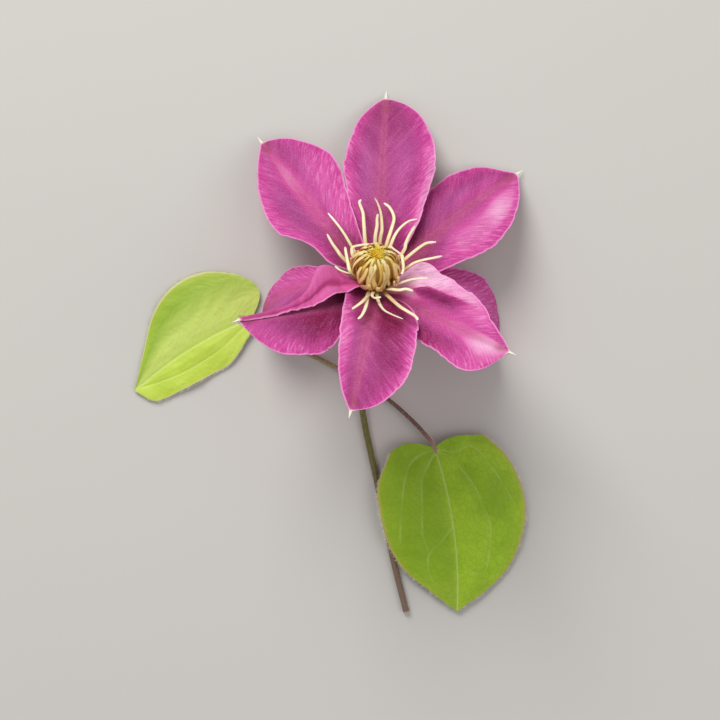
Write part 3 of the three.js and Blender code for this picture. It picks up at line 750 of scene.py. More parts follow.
def finish_material(tree, shader, base, tints, height, strength, depth):
    """The base colour with its tints laid over it in order, and a bump from a height, its depth in mm.

    A tint is its mask, its strength and its colour.
    """
    result = colour(base)
    for mask, share, hex_value in tints:
        amount = add_node(tree, "ShaderNodeMath", {0: mask, 1: share}, operation="MULTIPLY", use_clamp=True)
        result = add_node(tree, "ShaderNodeMix", {"Factor": amount, "A": result, "B": colour(hex_value)},
                          data_type="RGBA")
    tree.links.new(result.outputs[2], shader.inputs["Base Color"])
    bump = add_node(tree, "ShaderNodeBump", {"Height": height, "Strength": strength, "Distance": depth * MM})
    tree.links.new(bump.outputs[0], shader.inputs["Normal"])


# %% [markdown]
# ## Sepal tissue
#
# A living sepal has a satin face: the cells of its skin are tiny domes, which soften the highlight and give
# a velvety edge. Its colour is drawn out into streaks along the veins. The streaks are noise that is
# stretched along the vein places kept on the points, so they follow each sepal and bend with its folds.
# They are short, and show most near the margin and where light is painted on, where their pale ones are
# painted sheen. Painted light and painted shade come from patches kept on the points. The veins are also
# slightly sunken, which a fine bump from the same streaks gives.

# %% Sepal materials
def sepal_material(name, base, tints, streak_bump):
    """Satin skin of a sepal, streaked along its veins. tints may name the masks that are made here."""
    material, tree, shader = new_material(name, roughness=0.55, sheen=0.02, specular=0.1)
    flow = add_node(tree, "ShaderNodeAttribute", attribute_name="flow").outputs["Vector"]
    masks = stored_masks(tree, {
        "zones": ("bar", "root", "rim"),
        "tints": ("lilac", "warm", "bristle"),
        "marks": ("ribs", "tip spot", "flank"),
    })
    # Patches of painted light and painted shade, kept on the points
    painted_light_and_shade = add_node(tree, "ShaderNodeAttribute", attribute_name="painted_light_and_shade").outputs["Fac"]
    # Skin cells are about 0.03 mm wide, drawn at 0.5 mm so that the velvet of the skin shows
    grain = add_node(tree, "ShaderNodeTexNoise", {
        "Vector": add_node(tree, "ShaderNodeTexCoord").outputs["Object"], "Scale": 1 / (0.5 * MM)})
    # glow is painted light, pale a strong painted highlight and deep painted shade, all from those patches
    ranges = {
        "glow": (painted_light_and_shade, 0.0, 0.6), "pale": (painted_light_and_shade, 0.45, 1.0), "deep": (painted_light_and_shade, 0.0, -1.0),
        "grain light": (grain, 0.5, 0.7), "grain dark": (grain, 0.5, 0.3),
    }
    streaks = {"fine": (1.3, 0.34), "broad": (0.42, 0.16), "patches": (0.13, 0.12)}
    for label, (across_veins, along_veins) in streaks.items():
        place = add_node(tree, "ShaderNodeVectorMath", {0: flow, 1: (across_veins, along_veins, 1)},
                         operation="MULTIPLY")
        noise = add_node(tree, "ShaderNodeTexNoise", {"Vector": place, "Scale": 1.0, "Detail": 3.0})
        ranges[f"{label} light"] = (noise, 0.5, 0.7)
        ranges[f"{label} dark"] = (noise, 0.5, 0.3)
    for label, (value, low, high) in ranges.items():
        limits = {"Value": value, "From Min": low, "From Max": high}
        masks[label] = add_node(tree, "ShaderNodeMapRange", limits)
    # lit side is where light is painted on a flank, and the lit fine streaks there are painted sheen
    products = {"lit side": ("glow", "flank")}
    for tone in ("light", "dark"):
        products[f"edge fine {tone}"] = (f"fine {tone}", "warm")
        products[f"lit fine {tone}"] = (f"fine {tone}", "lit side")
    for label, (first, second) in products.items():
        masks[label] = add_node(tree, "ShaderNodeMath", {0: masks[first], 1: masks[second]},
                                operation="MULTIPLY")
    layers = [(masks[label], strength, hex_value) for label, strength, hex_value in tints]
    finish_material(tree, shader, base, layers, masks["fine light"], streak_bump, 0.12)
    return material


SEPAL_FACE = sepal_material("satin clematis sepal face", "#A6397A", [
    ("warm", 0.75, "#CE4096"),
    ("lilac", 0.5, "#B05C9E"),
    ("patches light", 0.3, "#D0609F"),
    ("patches dark", 0.35, "#902062"),
    ("root", 0.9, "#6E0A34"),
    # Painted light, painted highlight and painted shade
    ("glow", 0.85, "#E456AA"),
    ("pale", 0.9, "#FACAE6"),
    ("deep", 0.9, "#7C0A3C"),
    ("bar", 0.5, "#C05A84"),
    ("ribs", 0.12, "#D48CB0"),
    ("tip spot", 0.6, "#9C4456"),
    ("broad light", 0.14, "#D478B2"),
    ("broad dark", 0.14, "#80205C"),
    ("fine light", 0.06, "#DC8ABE"),
    ("fine dark", 0.06, "#7C1C58"),
    ("edge fine light", 0.24, "#F488C8"),
    ("edge fine dark", 0.3, "#981A64"),
    # Painted sheen: pale and darker streaks where light is painted on
    ("lit fine light", 0.35, "#FAC8E8"),
    ("lit fine dark", 0.15, "#C03C8C"),
    ("grain light", 0.12, "#F2A6D4"),
    ("grain dark", 0.14, "#6E1048"),
    ("rim", 0.7, "#FAA4DA"),
    ("bristle", 1.0, "#F3E9DA"),
], 0.3)
SEPAL_BACK = sepal_material("satin clematis sepal back", "#CC4E90", [
    ("patches light", 0.3, "#D66CA8"),
    # Painted light and painted highlight
    ("glow", 0.7, "#E062A8"),
    ("pale", 0.85, "#F3B0D6"),
    ("bar", 0.4, "#B8607A"),
    ("root", 0.25, "#A8406A"),
    # Painted shade
    ("deep", 0.6, "#8A2458"),
    ("broad dark", 0.2, "#A03472"),
    ("fine light", 0.14, "#E48CC0"),
    ("fine dark", 0.14, "#98306E"),
    ("grain light", 0.1, "#F2A6D4"),
    ("grain dark", 0.1, "#8A2060"),
    ("rim", 0.6, "#F4A6D4"),
    ("bristle", 1.0, "#F3E9DA"),
], 0.35)
for piece in sepals.values():
    piece.data.materials.append(SEPAL_FACE)
    piece.data.materials.append(SEPAL_BACK)
print("sepal materials:", SEPAL_FACE.name, "and", SEPAL_BACK.name)

# %% [markdown]
# ## Camera
#
# The flower lies on its surface and the camera looks straight down on it, as the photograph looks at the
# bloom. It is made before the stamens, because the stamens that stand away from the head are placed by what
# the photograph shows of them, and that needs the camera's place.

# %% Camera from the photograph's frame
PHOTO_SIDE = 720
FOCAL_PIXELS = 2571
CAMERA_PLACE = BASE + [-5.6, -25.2, BLOOM_HEIGHT + 900]
SENSOR = 36

camera = bpy.data.cameras.new("camera")
camera.sensor_width = SENSOR
camera.lens = FOCAL_PIXELS / PHOTO_SIDE * SENSOR
camera_object = bpy.data.objects.new("camera", camera)
camera_object.location = Vector(CAMERA_PLACE * MM)
bpy.context.scene.collection.objects.link(camera_object)
bpy.context.scene.camera = camera_object
print(f"lens {camera.lens:.1f} mm, {CAMERA_PLACE[2] * MM:.2f} m above the surface")


def seen_at(pixels, heights):
    """Points at heights above the bloom's base that the camera sees at places in the photograph."""
    pixels = np.asarray(pixels, float)
    across, down = (pixels - PHOTO_SIDE / 2).T / FOCAL_PIXELS
    ray = np.stack([across, -down, -np.ones(len(pixels))], -1)
    foot, top = from_bloom([[0, 0, 0], [0, 0, 1]]) + BASE
    axis = top - foot
    distance = (heights - (CAMERA_PLACE - foot) @ axis) / (ray @ axis)
    return CAMERA_PLACE + distance[:, None] * ray


def on_bloom(azimuth, radius, height):
    """Points at azimuths in degrees, radii and heights in mm round the bloom's axis."""
    turn = np.radians(azimuth)
    places = np.stack([radius * np.cos(turn), radius * np.sin(turn), height + 0 * radius], -1)
    return from_bloom(places) + BASE


# %% [markdown]
# ## Stamens of the head
#
# A clematis has many stamens, and in this one they are flat straps, a little grooved. The crowded ones bend
# in over the pistil like the staves of a barrel, in three rings, and some outer ones stand a little proud
# with blunt tips. Each is one path swept by the tree, with its flat side outwards, and seeded draws vary
# its width, twist and height.

# %% Paths of the head's stamens
BOSS_OUTLINE = np.array([
    [0.38, 0], [0.64, 0.12], [0.92, 0.34], [0.98, 0.52], [0.9, 0.72], [0.66, 0.9], [0.34, 1],
])
BOSS_MIDDLE = on_bloom(0, np.array(0.0), BOSS_FOOT + 0.42 * BOSS_HEIGHT)
STRAP_STEPS = 5


def head_stamen(azimuth, swell, tall, half_width, layer, reach, draw):
    """Strap from the foot of the head in over its mouth. One of less reach ends early, blunt and proud."""
    outline = BOSS_OUTLINE * [swell, tall]
    outline[-1] *= [0.3 + 0.9 * draw[0], 0.96 + 0.07 * draw[1]]
    path = smooth_path(outline, STRAP_STEPS)
    place = np.linspace(0, reach * (len(path) - 1), 24)
    radius, height = (np.interp(place, np.arange(len(path)), column) for column in path.T)
    share = np.linspace(0, 1, len(place))
    radius = radius + 0.11 * draw[0] * smooth((share - 0.6) / 0.4) * (reach < 0.7)
    turn = azimuth + 44 * (draw[2] - 0.4) * share**2 + 6 * np.sin(2 * np.pi * (share + draw[1]))
    points = on_bloom(turn, radius * BOSS_RADIUS, BOSS_FOOT + height * BOSS_HEIGHT)
    tip = 0.3 if reach > 0.7 else 0.6
    width = half_width * np.interp(share, [0, 0.35, 0.8, 0.96, 1], [0.75, 0.95, 0.9, 0.75, tip])
    return {
        "points": points,
        "half_width": width,
        "outwards": points - BOSS_MIDDLE + 0.8 * (draw[3] - 0.5) * np.roll(points - BOSS_MIDDLE, 1, axis=1),
        "strap": np.stack([share * reach, np.full(len(share), draw[2]), np.full(len(share), layer)], -1),
    }


def head_ring(count, swell, tall, half_width, layer, reach, rng):
    """Stamens round the head. reach is the least and the most that they reach along the outline."""
    ring = []
    for k in range(count):
        draw = rng.random(8)
        azimuth = 360 * (k + 0.8 * (draw[4] - 0.5)) / count
        ring.append(head_stamen(
            azimuth, swell + 0.06 * (draw[5] - 0.5), tall + 0.08 * (draw[6] - 0.5),
            half_width * (0.8 + 0.4 * draw[7]), layer, reach[0] + (reach[1] - reach[0]) * draw[0], draw,
        ))
    return ring


stamen_rng = np.random.default_rng(5)
head = [
    *head_ring(11, 1.02, 1.0, 1.15, 0.0, (0.45, 0.66), stamen_rng),
    *head_ring(22, 0.93, 1.0, 0.95, 0.3, (0.75, 1), stamen_rng),
    *head_ring(21, 0.82, 1.0, 0.66, 0.7, (0.85, 1), stamen_rng),
    *head_ring(15, 0.62, 1.0, 0.55, 1.0, (0.92, 1), stamen_rng),
]
print("stamens in the head:", len(head))

# %% [markdown]
# ## Stamens that stand away
#
# About two dozen outer stamens have let go of the head and wave over the sepals. Their paths are given
# as a few places in the photograph for each, put back into space at a height that rises from the
# foot of the head. Each starts on the head's own root ring, so it is carried by the bloom from whichever
# side it is seen.

# %% Paths of the spreading stamens
SPREADING_PIXELS = [
    [(366, 247), (364, 226), (363, 213), (359.5, 203), (361, 199.5)],
    [(375, 241), (377, 226), (377, 219), (378, 214)],
    [(380, 240), (382, 229), (381, 214), (378, 204), (375, 198)],
    [(387, 243), (391, 230), (394, 218), (390, 208), (384, 203)],
    [(390, 247), (395, 235), (401, 227), (409, 221), (417, 219)],
    [(403, 252), (406, 243), (410, 234), (415, 226)],
    [(403, 261), (411, 254), (420, 247), (427, 243), (436, 242)],
    [(405, 269), (414, 263), (423, 260), (433, 258), (442, 256)],
    [(393, 286), (403, 282), (414, 279), (428, 278)],
    [(390, 289), (399, 290), (406, 289), (413, 291)],
    [(352, 247), (345, 235), (338, 225), (328, 213)],
    [(344, 259), (337, 250), (332, 243), (327, 234)],
    [(351, 272), (348, 263), (346, 253), (345, 247)],
    [(354, 258), (352, 251), (353, 247), (361, 245), (370, 244)],
    [(368, 253), (376, 247), (384, 249)],
    [(388, 248), (395, 250), (403, 256)],
    [(400, 255), (403, 263), (403, 271), (401, 274)],
    [(359, 275), (348, 273), (340, 270), (335, 266)],
    [(368, 294), (366, 306), (362, 315), (358, 319)],
    [(364, 300), (358, 305), (352, 309)],
    [(378, 300), (383, 309), (391, 314), (403, 319)],
    [(372, 295), (375, 298), (381, 297)],
    [(398, 305), (407, 311), (415, 316), (418, 320)],
]
SPREADING_RISE = 12.5
ROOT_RING = 4


def bloom_places(points):
    """Azimuths in degrees and radii in mm of points round the bloom's axis."""
    foot, right, up = from_bloom([[0, 0, 0], [1, 0, 0], [0, 1, 0]]) + BASE
    x, y = (points - foot) @ (right - foot), (points - foot) @ (up - foot)
    return np.degrees(np.arctan2(y, x)), np.hypot(x, y)


def spreading_stamen(pixels, draw):
    """A stamen through places in the photograph, each as high as its distance from the axis asks."""
    heights = np.full(len(pixels), float(SPREADING_RISE))
    for _ in range(12):
        azimuths, radii = bloom_places(seen_at(pixels, heights))
        share = np.clip((radii - ROOT_RING) / (radii.max() - ROOT_RING), 0, 1)
        heights = BOSS_FOOT + 1 + (SPREADING_RISE - BOSS_FOOT) * np.sin(share * np.pi / 2)
    root = on_bloom(azimuths[0], np.array([float(ROOT_RING)]), BOSS_FOOT + 0.5)
    points = smooth_path(np.vstack([root, seen_at(pixels, heights)]), STRAP_STEPS)
    share = np.linspace(0, 1, len(points))
    axis = from_bloom([0, 0, 1]) - from_bloom([0, 0, 0])
    side = np.cross(unit(points[-1] - points[0]), axis)
    twist = np.radians(100 * (draw[0] - 0.5)) * share
    return {
        "points": points,
        "half_width": (0.66 + 0.2 * draw[1]) * np.interp(share, [0, 0.5, 0.92, 1], [0.95, 0.75, 0.6, 0.3]),
        "outwards": np.cos(twist)[:, None] * axis + np.sin(twist)[:, None] * side,
        "strap": np.stack([share, np.full(len(share), draw[2]), np.full(len(share), -0.5)], -1),
    }


spreading = [spreading_stamen(pixels, stamen_rng.random(3)) for pixels in SPREADING_PIXELS]
print("spreading stamens:", len(spreading))

# %% [markdown]
# ## Stamen tissue
#
# A stamen is waxy and cream, with peach edges, and towards its root it is painted a darker olive-yellow,
# painted shade for the head's depths. The waxy skin gives a soft, fairly tight highlight, and light that
# soaks through the strap lifts its shaded side. The strap's own length and width drive the colours.

# %% Stamen material
def stamen_material():
    material, tree, shader = new_material("waxy cream stamen", roughness=0.38, specular=0.5)
    shader.inputs["Subsurface Weight"].default_value = 0.35
    shader.inputs["Subsurface Radius"].default_value = (1.0, 0.75, 0.3)
    shader.inputs["Subsurface Scale"].default_value = 1.2 * MM
    masks = stored_masks(tree, {"strap": ("share", "draw", "layer")})
    across = add_node(tree, "ShaderNodeAttribute", attribute_name="across").outputs["Fac"]
    from_middle = add_node(tree, "ShaderNodeMath", {0: across}, operation="ABSOLUTE")
    # Specks of pollen are about 0.05 mm, drawn at 0.5 mm so that they show
    speck = add_node(tree, "ShaderNodeTexNoise", {
        "Vector": add_node(tree, "ShaderNodeTexCoord").outputs["Object"], "Scale": 1 / MM, "Detail": 2.0})
    ranges = {
        "edge": (from_middle, 0.55, 0.9), "mottle": (speck, 0.5, 0.7), "inner": (masks["layer"], -0.3, 0.8),
        "tip": (masks["share"], 0.8, 1.0), "deep": (masks["share"], 0.42, 0.08),
    }
    for label, (value, low, high) in ranges.items():
        limits = {"Value": value, "From Min": low, "From Max": high}
        masks[label] = add_node(tree, "ShaderNodeMapRange", limits)
    inner_tip = add_node(tree, "ShaderNodeMath", {0: masks["inner"], 1: masks["tip"]}, operation="MULTIPLY")
    finish_material(tree, shader, "#FFF4CC", [
        (masks["draw"], 0.3, "#F4D27C"),
        (masks["mottle"], 0.2, "#E6BE5C"),
        (masks["inner"], 0.9, "#FACC36"),
        (masks["edge"], 0.65, "#C67E32"),
        (masks["tip"], 0.7, "#FFFAE8"),
        (inner_tip, 0.9, "#FCE650"),
        # Painted shade towards the root of each strap, deep in the head
        (masks["deep"], 0.5, "#B8861E"),
    ], speck, 0.25, 0.1)
    return material


STAMEN = stamen_material()
print("stamen material:", STAMEN.name)

# %% [markdown]
# ## Growing the stamens
#
# The strap's section is a flattened circle with a shallow groove on its outer face. Behind the straps
# stands a core, a turned shape as the lathe would make it, so that no gap between two straps shows through
# the head.

# %% Grow the stamens
def turned(name, outline, material, sides=48, relief=0.0):
    """A body turned round the bloom's axis from radii and heights in mm. Both ends lie on the axis."""
    profile = smooth_path(outline, 4)
    profile[[0, -1], 0] = 0
    around = np.linspace(0, 360, sides, endpoint=False)
    wobble = 1 + relief * np.sin(np.radians(around) * 9)
    rings = [on_bloom(around, radius * wobble, height) for radius, height in profile[1:-1]]
    poles = on_bloom(np.zeros(2), np.zeros(2), profile[[0, -1], 1])
    points = np.vstack([*rings, poles])
    last = (len(rings) - 1) * sides
    faces = []
    for k in range(sides):
        after = (k + 1) % sides
        faces.append((len(points) - 2, after, k))
        faces.append((len(points) - 1, last + k, last + after))
        faces += [(r + k, r + after, r + sides + after, r + sides + k) for r in range(0, last, sides)]
    mesh = bpy.data.meshes.new(name)
    mesh.from_pydata(points * MM, [], faces)
    mesh.shade_smooth()
    mesh.materials.append(material)
    return add_object(name, mesh)


straps = grown("straps", SWEEP, path_mesh("strap paths", head + spreading), {
    "Sides": 12, "Flatness": 0.36, "Groove": 0.16, "Ribs": 0.0, "Rib depth": 0.0, "Material": STAMEN})
core_outline = [[0, BOSS_FOOT], *(BOSS_OUTLINE * [0.72 * BOSS_RADIUS, 0.9 * BOSS_HEIGHT] + [0, BOSS_FOOT]),
                [0.6 * MOUTH_RADIUS, MOUTH_FLOOR - 1], [0, MOUTH_FLOOR - 1.2]]
core = turned("core", core_outline, STAMEN)
set_values(core.data, {"strap": np.tile([0.1, 0.5, 0.5], (len(core.data.vertices), 1))})
stamens = joined("stamens", [straps, core])
report(stamens)

# %% [markdown]
# ## A tree that puts spines on points
#
# The tips of the pistil, the down on the stem and the hairs along a leaf's edge are all short tapered spines
# on a surface. A second tree places a cone on each point it is given, along the direction that the point
# carries, and a random scale with a fixed seed keeps them from being alike. Their points are drawn in the
# script with seeded draws, and each cone has only a few faces, because there are hundreds.

# %% The spine tree
def spine_tree():
    tree, given, end = new_tree("Tapered spine on each point", {
        "Points": "NodeSocketGeometry",
        "Sides": "NodeSocketInt",
        "Root radius": "NodeSocketFloat",
        "Tip radius": "NodeSocketFloat",
        "Length": "NodeSocketFloat",
        "Shortest": "NodeSocketFloat",
        "Seed": "NodeSocketInt",
        "Material": "NodeSocketMaterial",
    })
    cone = add_node(tree, "GeometryNodeMeshCone", {
        "Vertices": given["Sides"], "Radius Top": given["Tip radius"], "Radius Bottom": given["Root radius"],
        "Depth": given["Length"]})
    direction = add_node(tree, "GeometryNodeInputNamedAttribute", {"Name": "outwards"},
                         data_type="FLOAT_VECTOR")
    rotation = add_node(tree, "FunctionNodeAlignRotationToVector", {"Vector": direction}, axis="Z")
    size = add_node(tree, "FunctionNodeRandomValue", {
        "Min": given["Shortest"], "Max": 1.0, "Seed": given["Seed"]}, data_type="FLOAT")
    placed = add_node(tree, "GeometryNodeInstanceOnPoints", {
        "Points": add_node(tree, "GeometryNodeMeshToPoints", {"Mesh": given["Points"]}),
        "Instance": cone.outputs["Mesh"], "Rotation": rotation, "Scale": size})
    finish_tree(tree, placed, given["Material"], end)
    return tree


SPINES = spine_tree()


def spines(name, points, outwards, sizes, material, seed):
    """Spines on points in mm. sizes are sides, root and tip radius, length and shortest share of it."""
    mesh = bpy.data.meshes.new(name)
    mesh.from_pydata(points * MM, [], [])
    set_values(mesh, {"outwards": unit(outwards)})
    sides, root, tip, length, shortest = sizes
    return grown(name, SPINES, mesh, {
        "Sides": sides, "Root radius": root * MM, "Tip radius": tip * MM, "Length": length * MM,
        "Shortest": shortest, "Seed": seed, "Material": material})


print("spine tree:", len(SPINES.nodes), "nodes")

# %% [markdown]
# ## Tips of the pistil
#
# In the mouth of the head the tips of the styles show as a small bright yellow tuft. They stand on a low
# dome and lean outwards a little. A spiral of points, each a golden angle on from the last, gives their
# places.

# %% Grow the styles
def plain_plant_material(name, base, speckle, roughness, grain):
    """Matte plant tissue in two mottled tones, with the size of its mottling in mm."""
    material, tree, shader = new_material(name, roughness=roughness)
    place = add_node(tree, "ShaderNodeTexCoord").outputs["Object"]
    noise = add_node(tree, "ShaderNodeTexNoise", {
        "Vector": place, "Scale": 1 / (2.5 * grain * MM), "Detail": 3.0})
    mottle = add_node(tree, "ShaderNodeMapRange", {"Value": noise, "From Min": 0.42, "From Max": 0.62})
    finish_material(tree, shader, base, [(mottle, 1.0, speckle)], noise, 0.3, 0.15)
    return material


# The tip of a style is dull and finely furred, so it looks evenly bright from every side
STYLE = plain_plant_material("matte yellow style", "#FFE95C", "#F2CC38", roughness=0.6, grain=0.6)
STYLE_COUNT = 46
GOLDEN_ANGLE = 137.5
style_spiral = np.sqrt((np.arange(STYLE_COUNT) + 0.5) / STYLE_COUNT)
style_turn = GOLDEN_ANGLE * np.arange(STYLE_COUNT)
style_height = MOUTH_FLOOR + 2.6 - 1.2 * style_spiral**2
style_points = on_bloom(style_turn, 1.8 * style_spiral, style_height)
style_tips = on_bloom(style_turn + 30, 4 * style_spiral, style_height + 2)
styles = joined("styles", [
    spines("style tips", style_points, style_tips - style_points, (6, 0.24, 0.16, 3, 0.6), STYLE, 3),
    turned("style dome", [[0, MOUTH_FLOOR - 0.6], [1.6, MOUTH_FLOOR - 0.4], [1.75, MOUTH_FLOOR + 0.5],
                          [1.2, MOUTH_FLOOR + 1.6], [0, MOUTH_FLOOR + 2.2]], STYLE, sides=24),
])
report(styles)

# %% [markdown]
# ## Stem
#
# The stem is slim, faintly six-ribbed and downy, olive near the bloom and brown towards the cut. At its
# node it swells, and the two leaf stalks leave it there. Its top widens into the receptacle that carries
# sepals and stamens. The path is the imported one, made smooth, and swept by the same tree as the stamens
# with a round ribbed section.

# %% Stem and petiole materials
def stalk_material(name, lit, shade, far, roughness):
    """Downy bark-like skin of a stalk: fine lengthwise lines, with another tone towards its far end."""
    material, tree, shader = new_material(name, roughness=roughness, sheen=0.15)
    masks = stored_masks(tree, {"strap": ("share", "far")})
    across = add_node(tree, "ShaderNodeAttribute", attribute_name="across").outputs["Fac"]
    # Lines of the skin are about 0.1 mm apart, drawn at 0.4 mm so that they show
    line_place = add_node(tree, "ShaderNodeCombineXYZ", {
        "X": add_node(tree, "ShaderNodeMath", {0: across, 1: 5.0}, operation="MULTIPLY"),
        "Y": add_node(tree, "ShaderNodeMath", {0: masks["share"], 1: 14.0}, operation="MULTIPLY")})
    noise = add_node(tree, "ShaderNodeTexNoise", {"Vector": line_place, "Scale": 1.0, "Detail": 3.0})
    lines = add_node(tree, "ShaderNodeMapRange", {"Value": noise, "From Min": 0.42, "From Max": 0.62})
    finish_material(tree, shader, lit, [(lines, 0.8, shade), (masks["far"], 1.0, far)], noise, 0.4, 0.15)
    return material


# Down scatters the light on a stalk, so its skin looks soft and has hardly a highlight. Hairs are hollow and
# white, and catch the light as a pale fringe. Cut pith is dry and spongy, and has no gloss at all.
STEM_SKIN = stalk_material("downy clematis stem", "#7A7434", "#4B441E", "#7E6454", roughness=0.6)
LEFT_STALK = stalk_material("tan petiole", "#AD9A66", "#85714A", "#B9A874", roughness=0.55)
RIGHT_STALK = stalk_material("purple-brown petiole", "#7D5A4E", "#5C3F39", "#B58A76", roughness=0.55)
DOWN = plain_plant_material("white plant hair", "#E9E4D2", "#D8D0B6", roughness=0.5, grain=1.0)
PITH = plain_plant_material("pale pith of the cut stem", "#C9C58C", "#A9A468", roughness=0.7, grain=0.5)
print("stalk materials:", ", ".join(skin.name for skin in (STEM_SKIN, LEFT_STALK, RIGHT_STALK, DOWN, PITH)))

# %% [markdown]
# A stalk's down is drawn as single hairs, each a spine that stands out of the skin and leans towards the
# tip. The real ones are hundredths of a millimetre thick. These are thicker, so that they show at all.

# %% Stalk helper
# Sides, root and tip radius, length, and the shortest share of it
HAIR = (3, 0.055, 0.02, 1.2, 0.4)


def hair_places(path, half_width, count, rng):
    """Places and directions of hairs all round a stalk."""
    along = rng.random(count) * (len(path) - 1.001)
    i = along.astype(int)
    f = (along - i)[:, None]
    tangent = unit(path[i + 1] - path[i])
    side = unit(rng.standard_normal((count, 3)))
    side = unit(side - (side * tangent).sum(-1, keepdims=True) * tangent)
    points = path[i] + (path[i + 1] - path[i]) * f + side * half_width[i][:, None] * 0.95
    return points, side + 0.5 * tangent


def stalk(name, path, half_width, far, material, hairs, seed):
    """A swept stalk and its down."""
    share = np.linspace(0, 1, len(path))
    values = np.stack([share * len(path) / 20, far, np.zeros(len(path))], -1)
    body = grown(name, SWEEP, path_mesh(name + " path", [{
        "points": path, "half_width": half_width, "outwards": np.array([0.1, 0.2, 1.0]), "strap": values,
    }]), {"Sides": 36, "Flatness": 1.0, "Groove": 0.0, "Ribs": 6.0, "Rib depth": 0.07, "Material": material})
    points, directions = hair_places(path, half_width, hairs, np.random.default_rng(seed))
    return [body, spines(name + " down", points, directions, HAIR, DOWN, seed)]


# %% [markdown]
# The stem has two ends of its own. Its top is the receptacle, a turned body with nine faint ridges. Its cut
# end shows pale pith, a shallow dish with a raised ring.

# %% Make the stem
STEM_PATH = [
    (11.1, -116, STEM_RADIUS), (6.8, -99, STEM_RADIUS), (3.6, -84, STEM_RADIUS), (0.3, -68, STEM_RADIUS),
    (-3.6, -50, 1.5), (-5.2, -40, 2.6), (-5.7, -33, 4.6), (-4.6, -24, 8.6), (-2.6, -15.5, 14.2),
    (-0.9, -7.6, 20.4),
]
STEM_TOP = (-6, -3.5)
NODE_PLACE = np.array([-5.7, -33, 4.6])

stem_points = np.vstack([STEM_PATH, [from_bloom([0, 0, height]) for height in STEM_TOP]]) + BASE
stem_path = smooth_path(stem_points, 12)
stem_run = np.linalg.norm(stem_path - (NODE_PLACE + BASE), axis=-1)
stem_width = STEM_RADIUS - 0.08 + (NODE_RADIUS - STEM_RADIUS) * np.exp(-(stem_run / 1.6) ** 2)
stem_far = smooth((-stem_path[:, 1] + BASE[1] - 50) / 60)
receptacle = turned("receptacle", [
    [0, -5.5], [1.6, -5.5], [3.2, -3.6], [CLAW_RADIUS - 0.4, -2.2], [CLAW_RADIUS - 0.3, 0.6],
    [3.2, BOSS_FOOT], [0, BOSS_FOOT],
], STEM_SKIN, sides=54, relief=0.02)


def cut_face(radius):
    """Pale pith in the stem's cut end, a shallow dish with a raised ring."""
    middle = stem_path[0]
    along = unit(stem_path[0] - stem_path[1])
    side = unit(np.cross(along, [0, 0, 1]))
    up = np.cross(side, along)
    sides = 24
    turn = np.linspace(0, 2 * np.pi, sides, endpoint=False)
    circle = np.cos(turn)[:, None] * side + np.sin(turn)[:, None] * up
    rings = [(0.98, -0.2), (0.96, 0.05), (0.8, 0.12), (0.7, 0.05), (0.35, 0.02), (0.12, -0.06)]
    points = np.vstack([middle + circle * share * radius + along * height for share, height in rings])
    last = sides * (len(rings) - 1)
    faces = [(r + k, r + (k + 1) % sides, r + sides + (k + 1) % sides, r + sides + k)
             for r in range(0, last, sides) for k in range(sides)]
    faces.append(tuple(range(last, last + sides)))
    faces.append(tuple(reversed(range(sides))))
    mesh = bpy.data.meshes.new("cut face")
    mesh.from_pydata(points * MM, [], faces)
    mesh.materials.append(PITH)
    mesh.shade_smooth()
    return add_object("cut face", mesh)


stem = joined("stem", [
    *stalk("stem body", stem_path, stem_width, stem_far, STEM_SKIN, 900, 31), receptacle, cut_face(1.1),
])
report(stem)

# %% [markdown]
# ## Leaves
#
# Both leaves use the blade formula too. Their veins run from the foot of the blade in long arches that meet
# near the tip, the way a clematis leaf's do. A lobe sets each half of the foot back, and the half's tuck
# says how far its margin comes forward again: not at all at 0.5, level with the stalk at 1. The paths of
# the veins are given by a few places on the blade, as shares of its length and of its half's width. The
# distance to the nearest one is kept on each point, and it sinks the vein, swells the blade beside it and
# colours it.

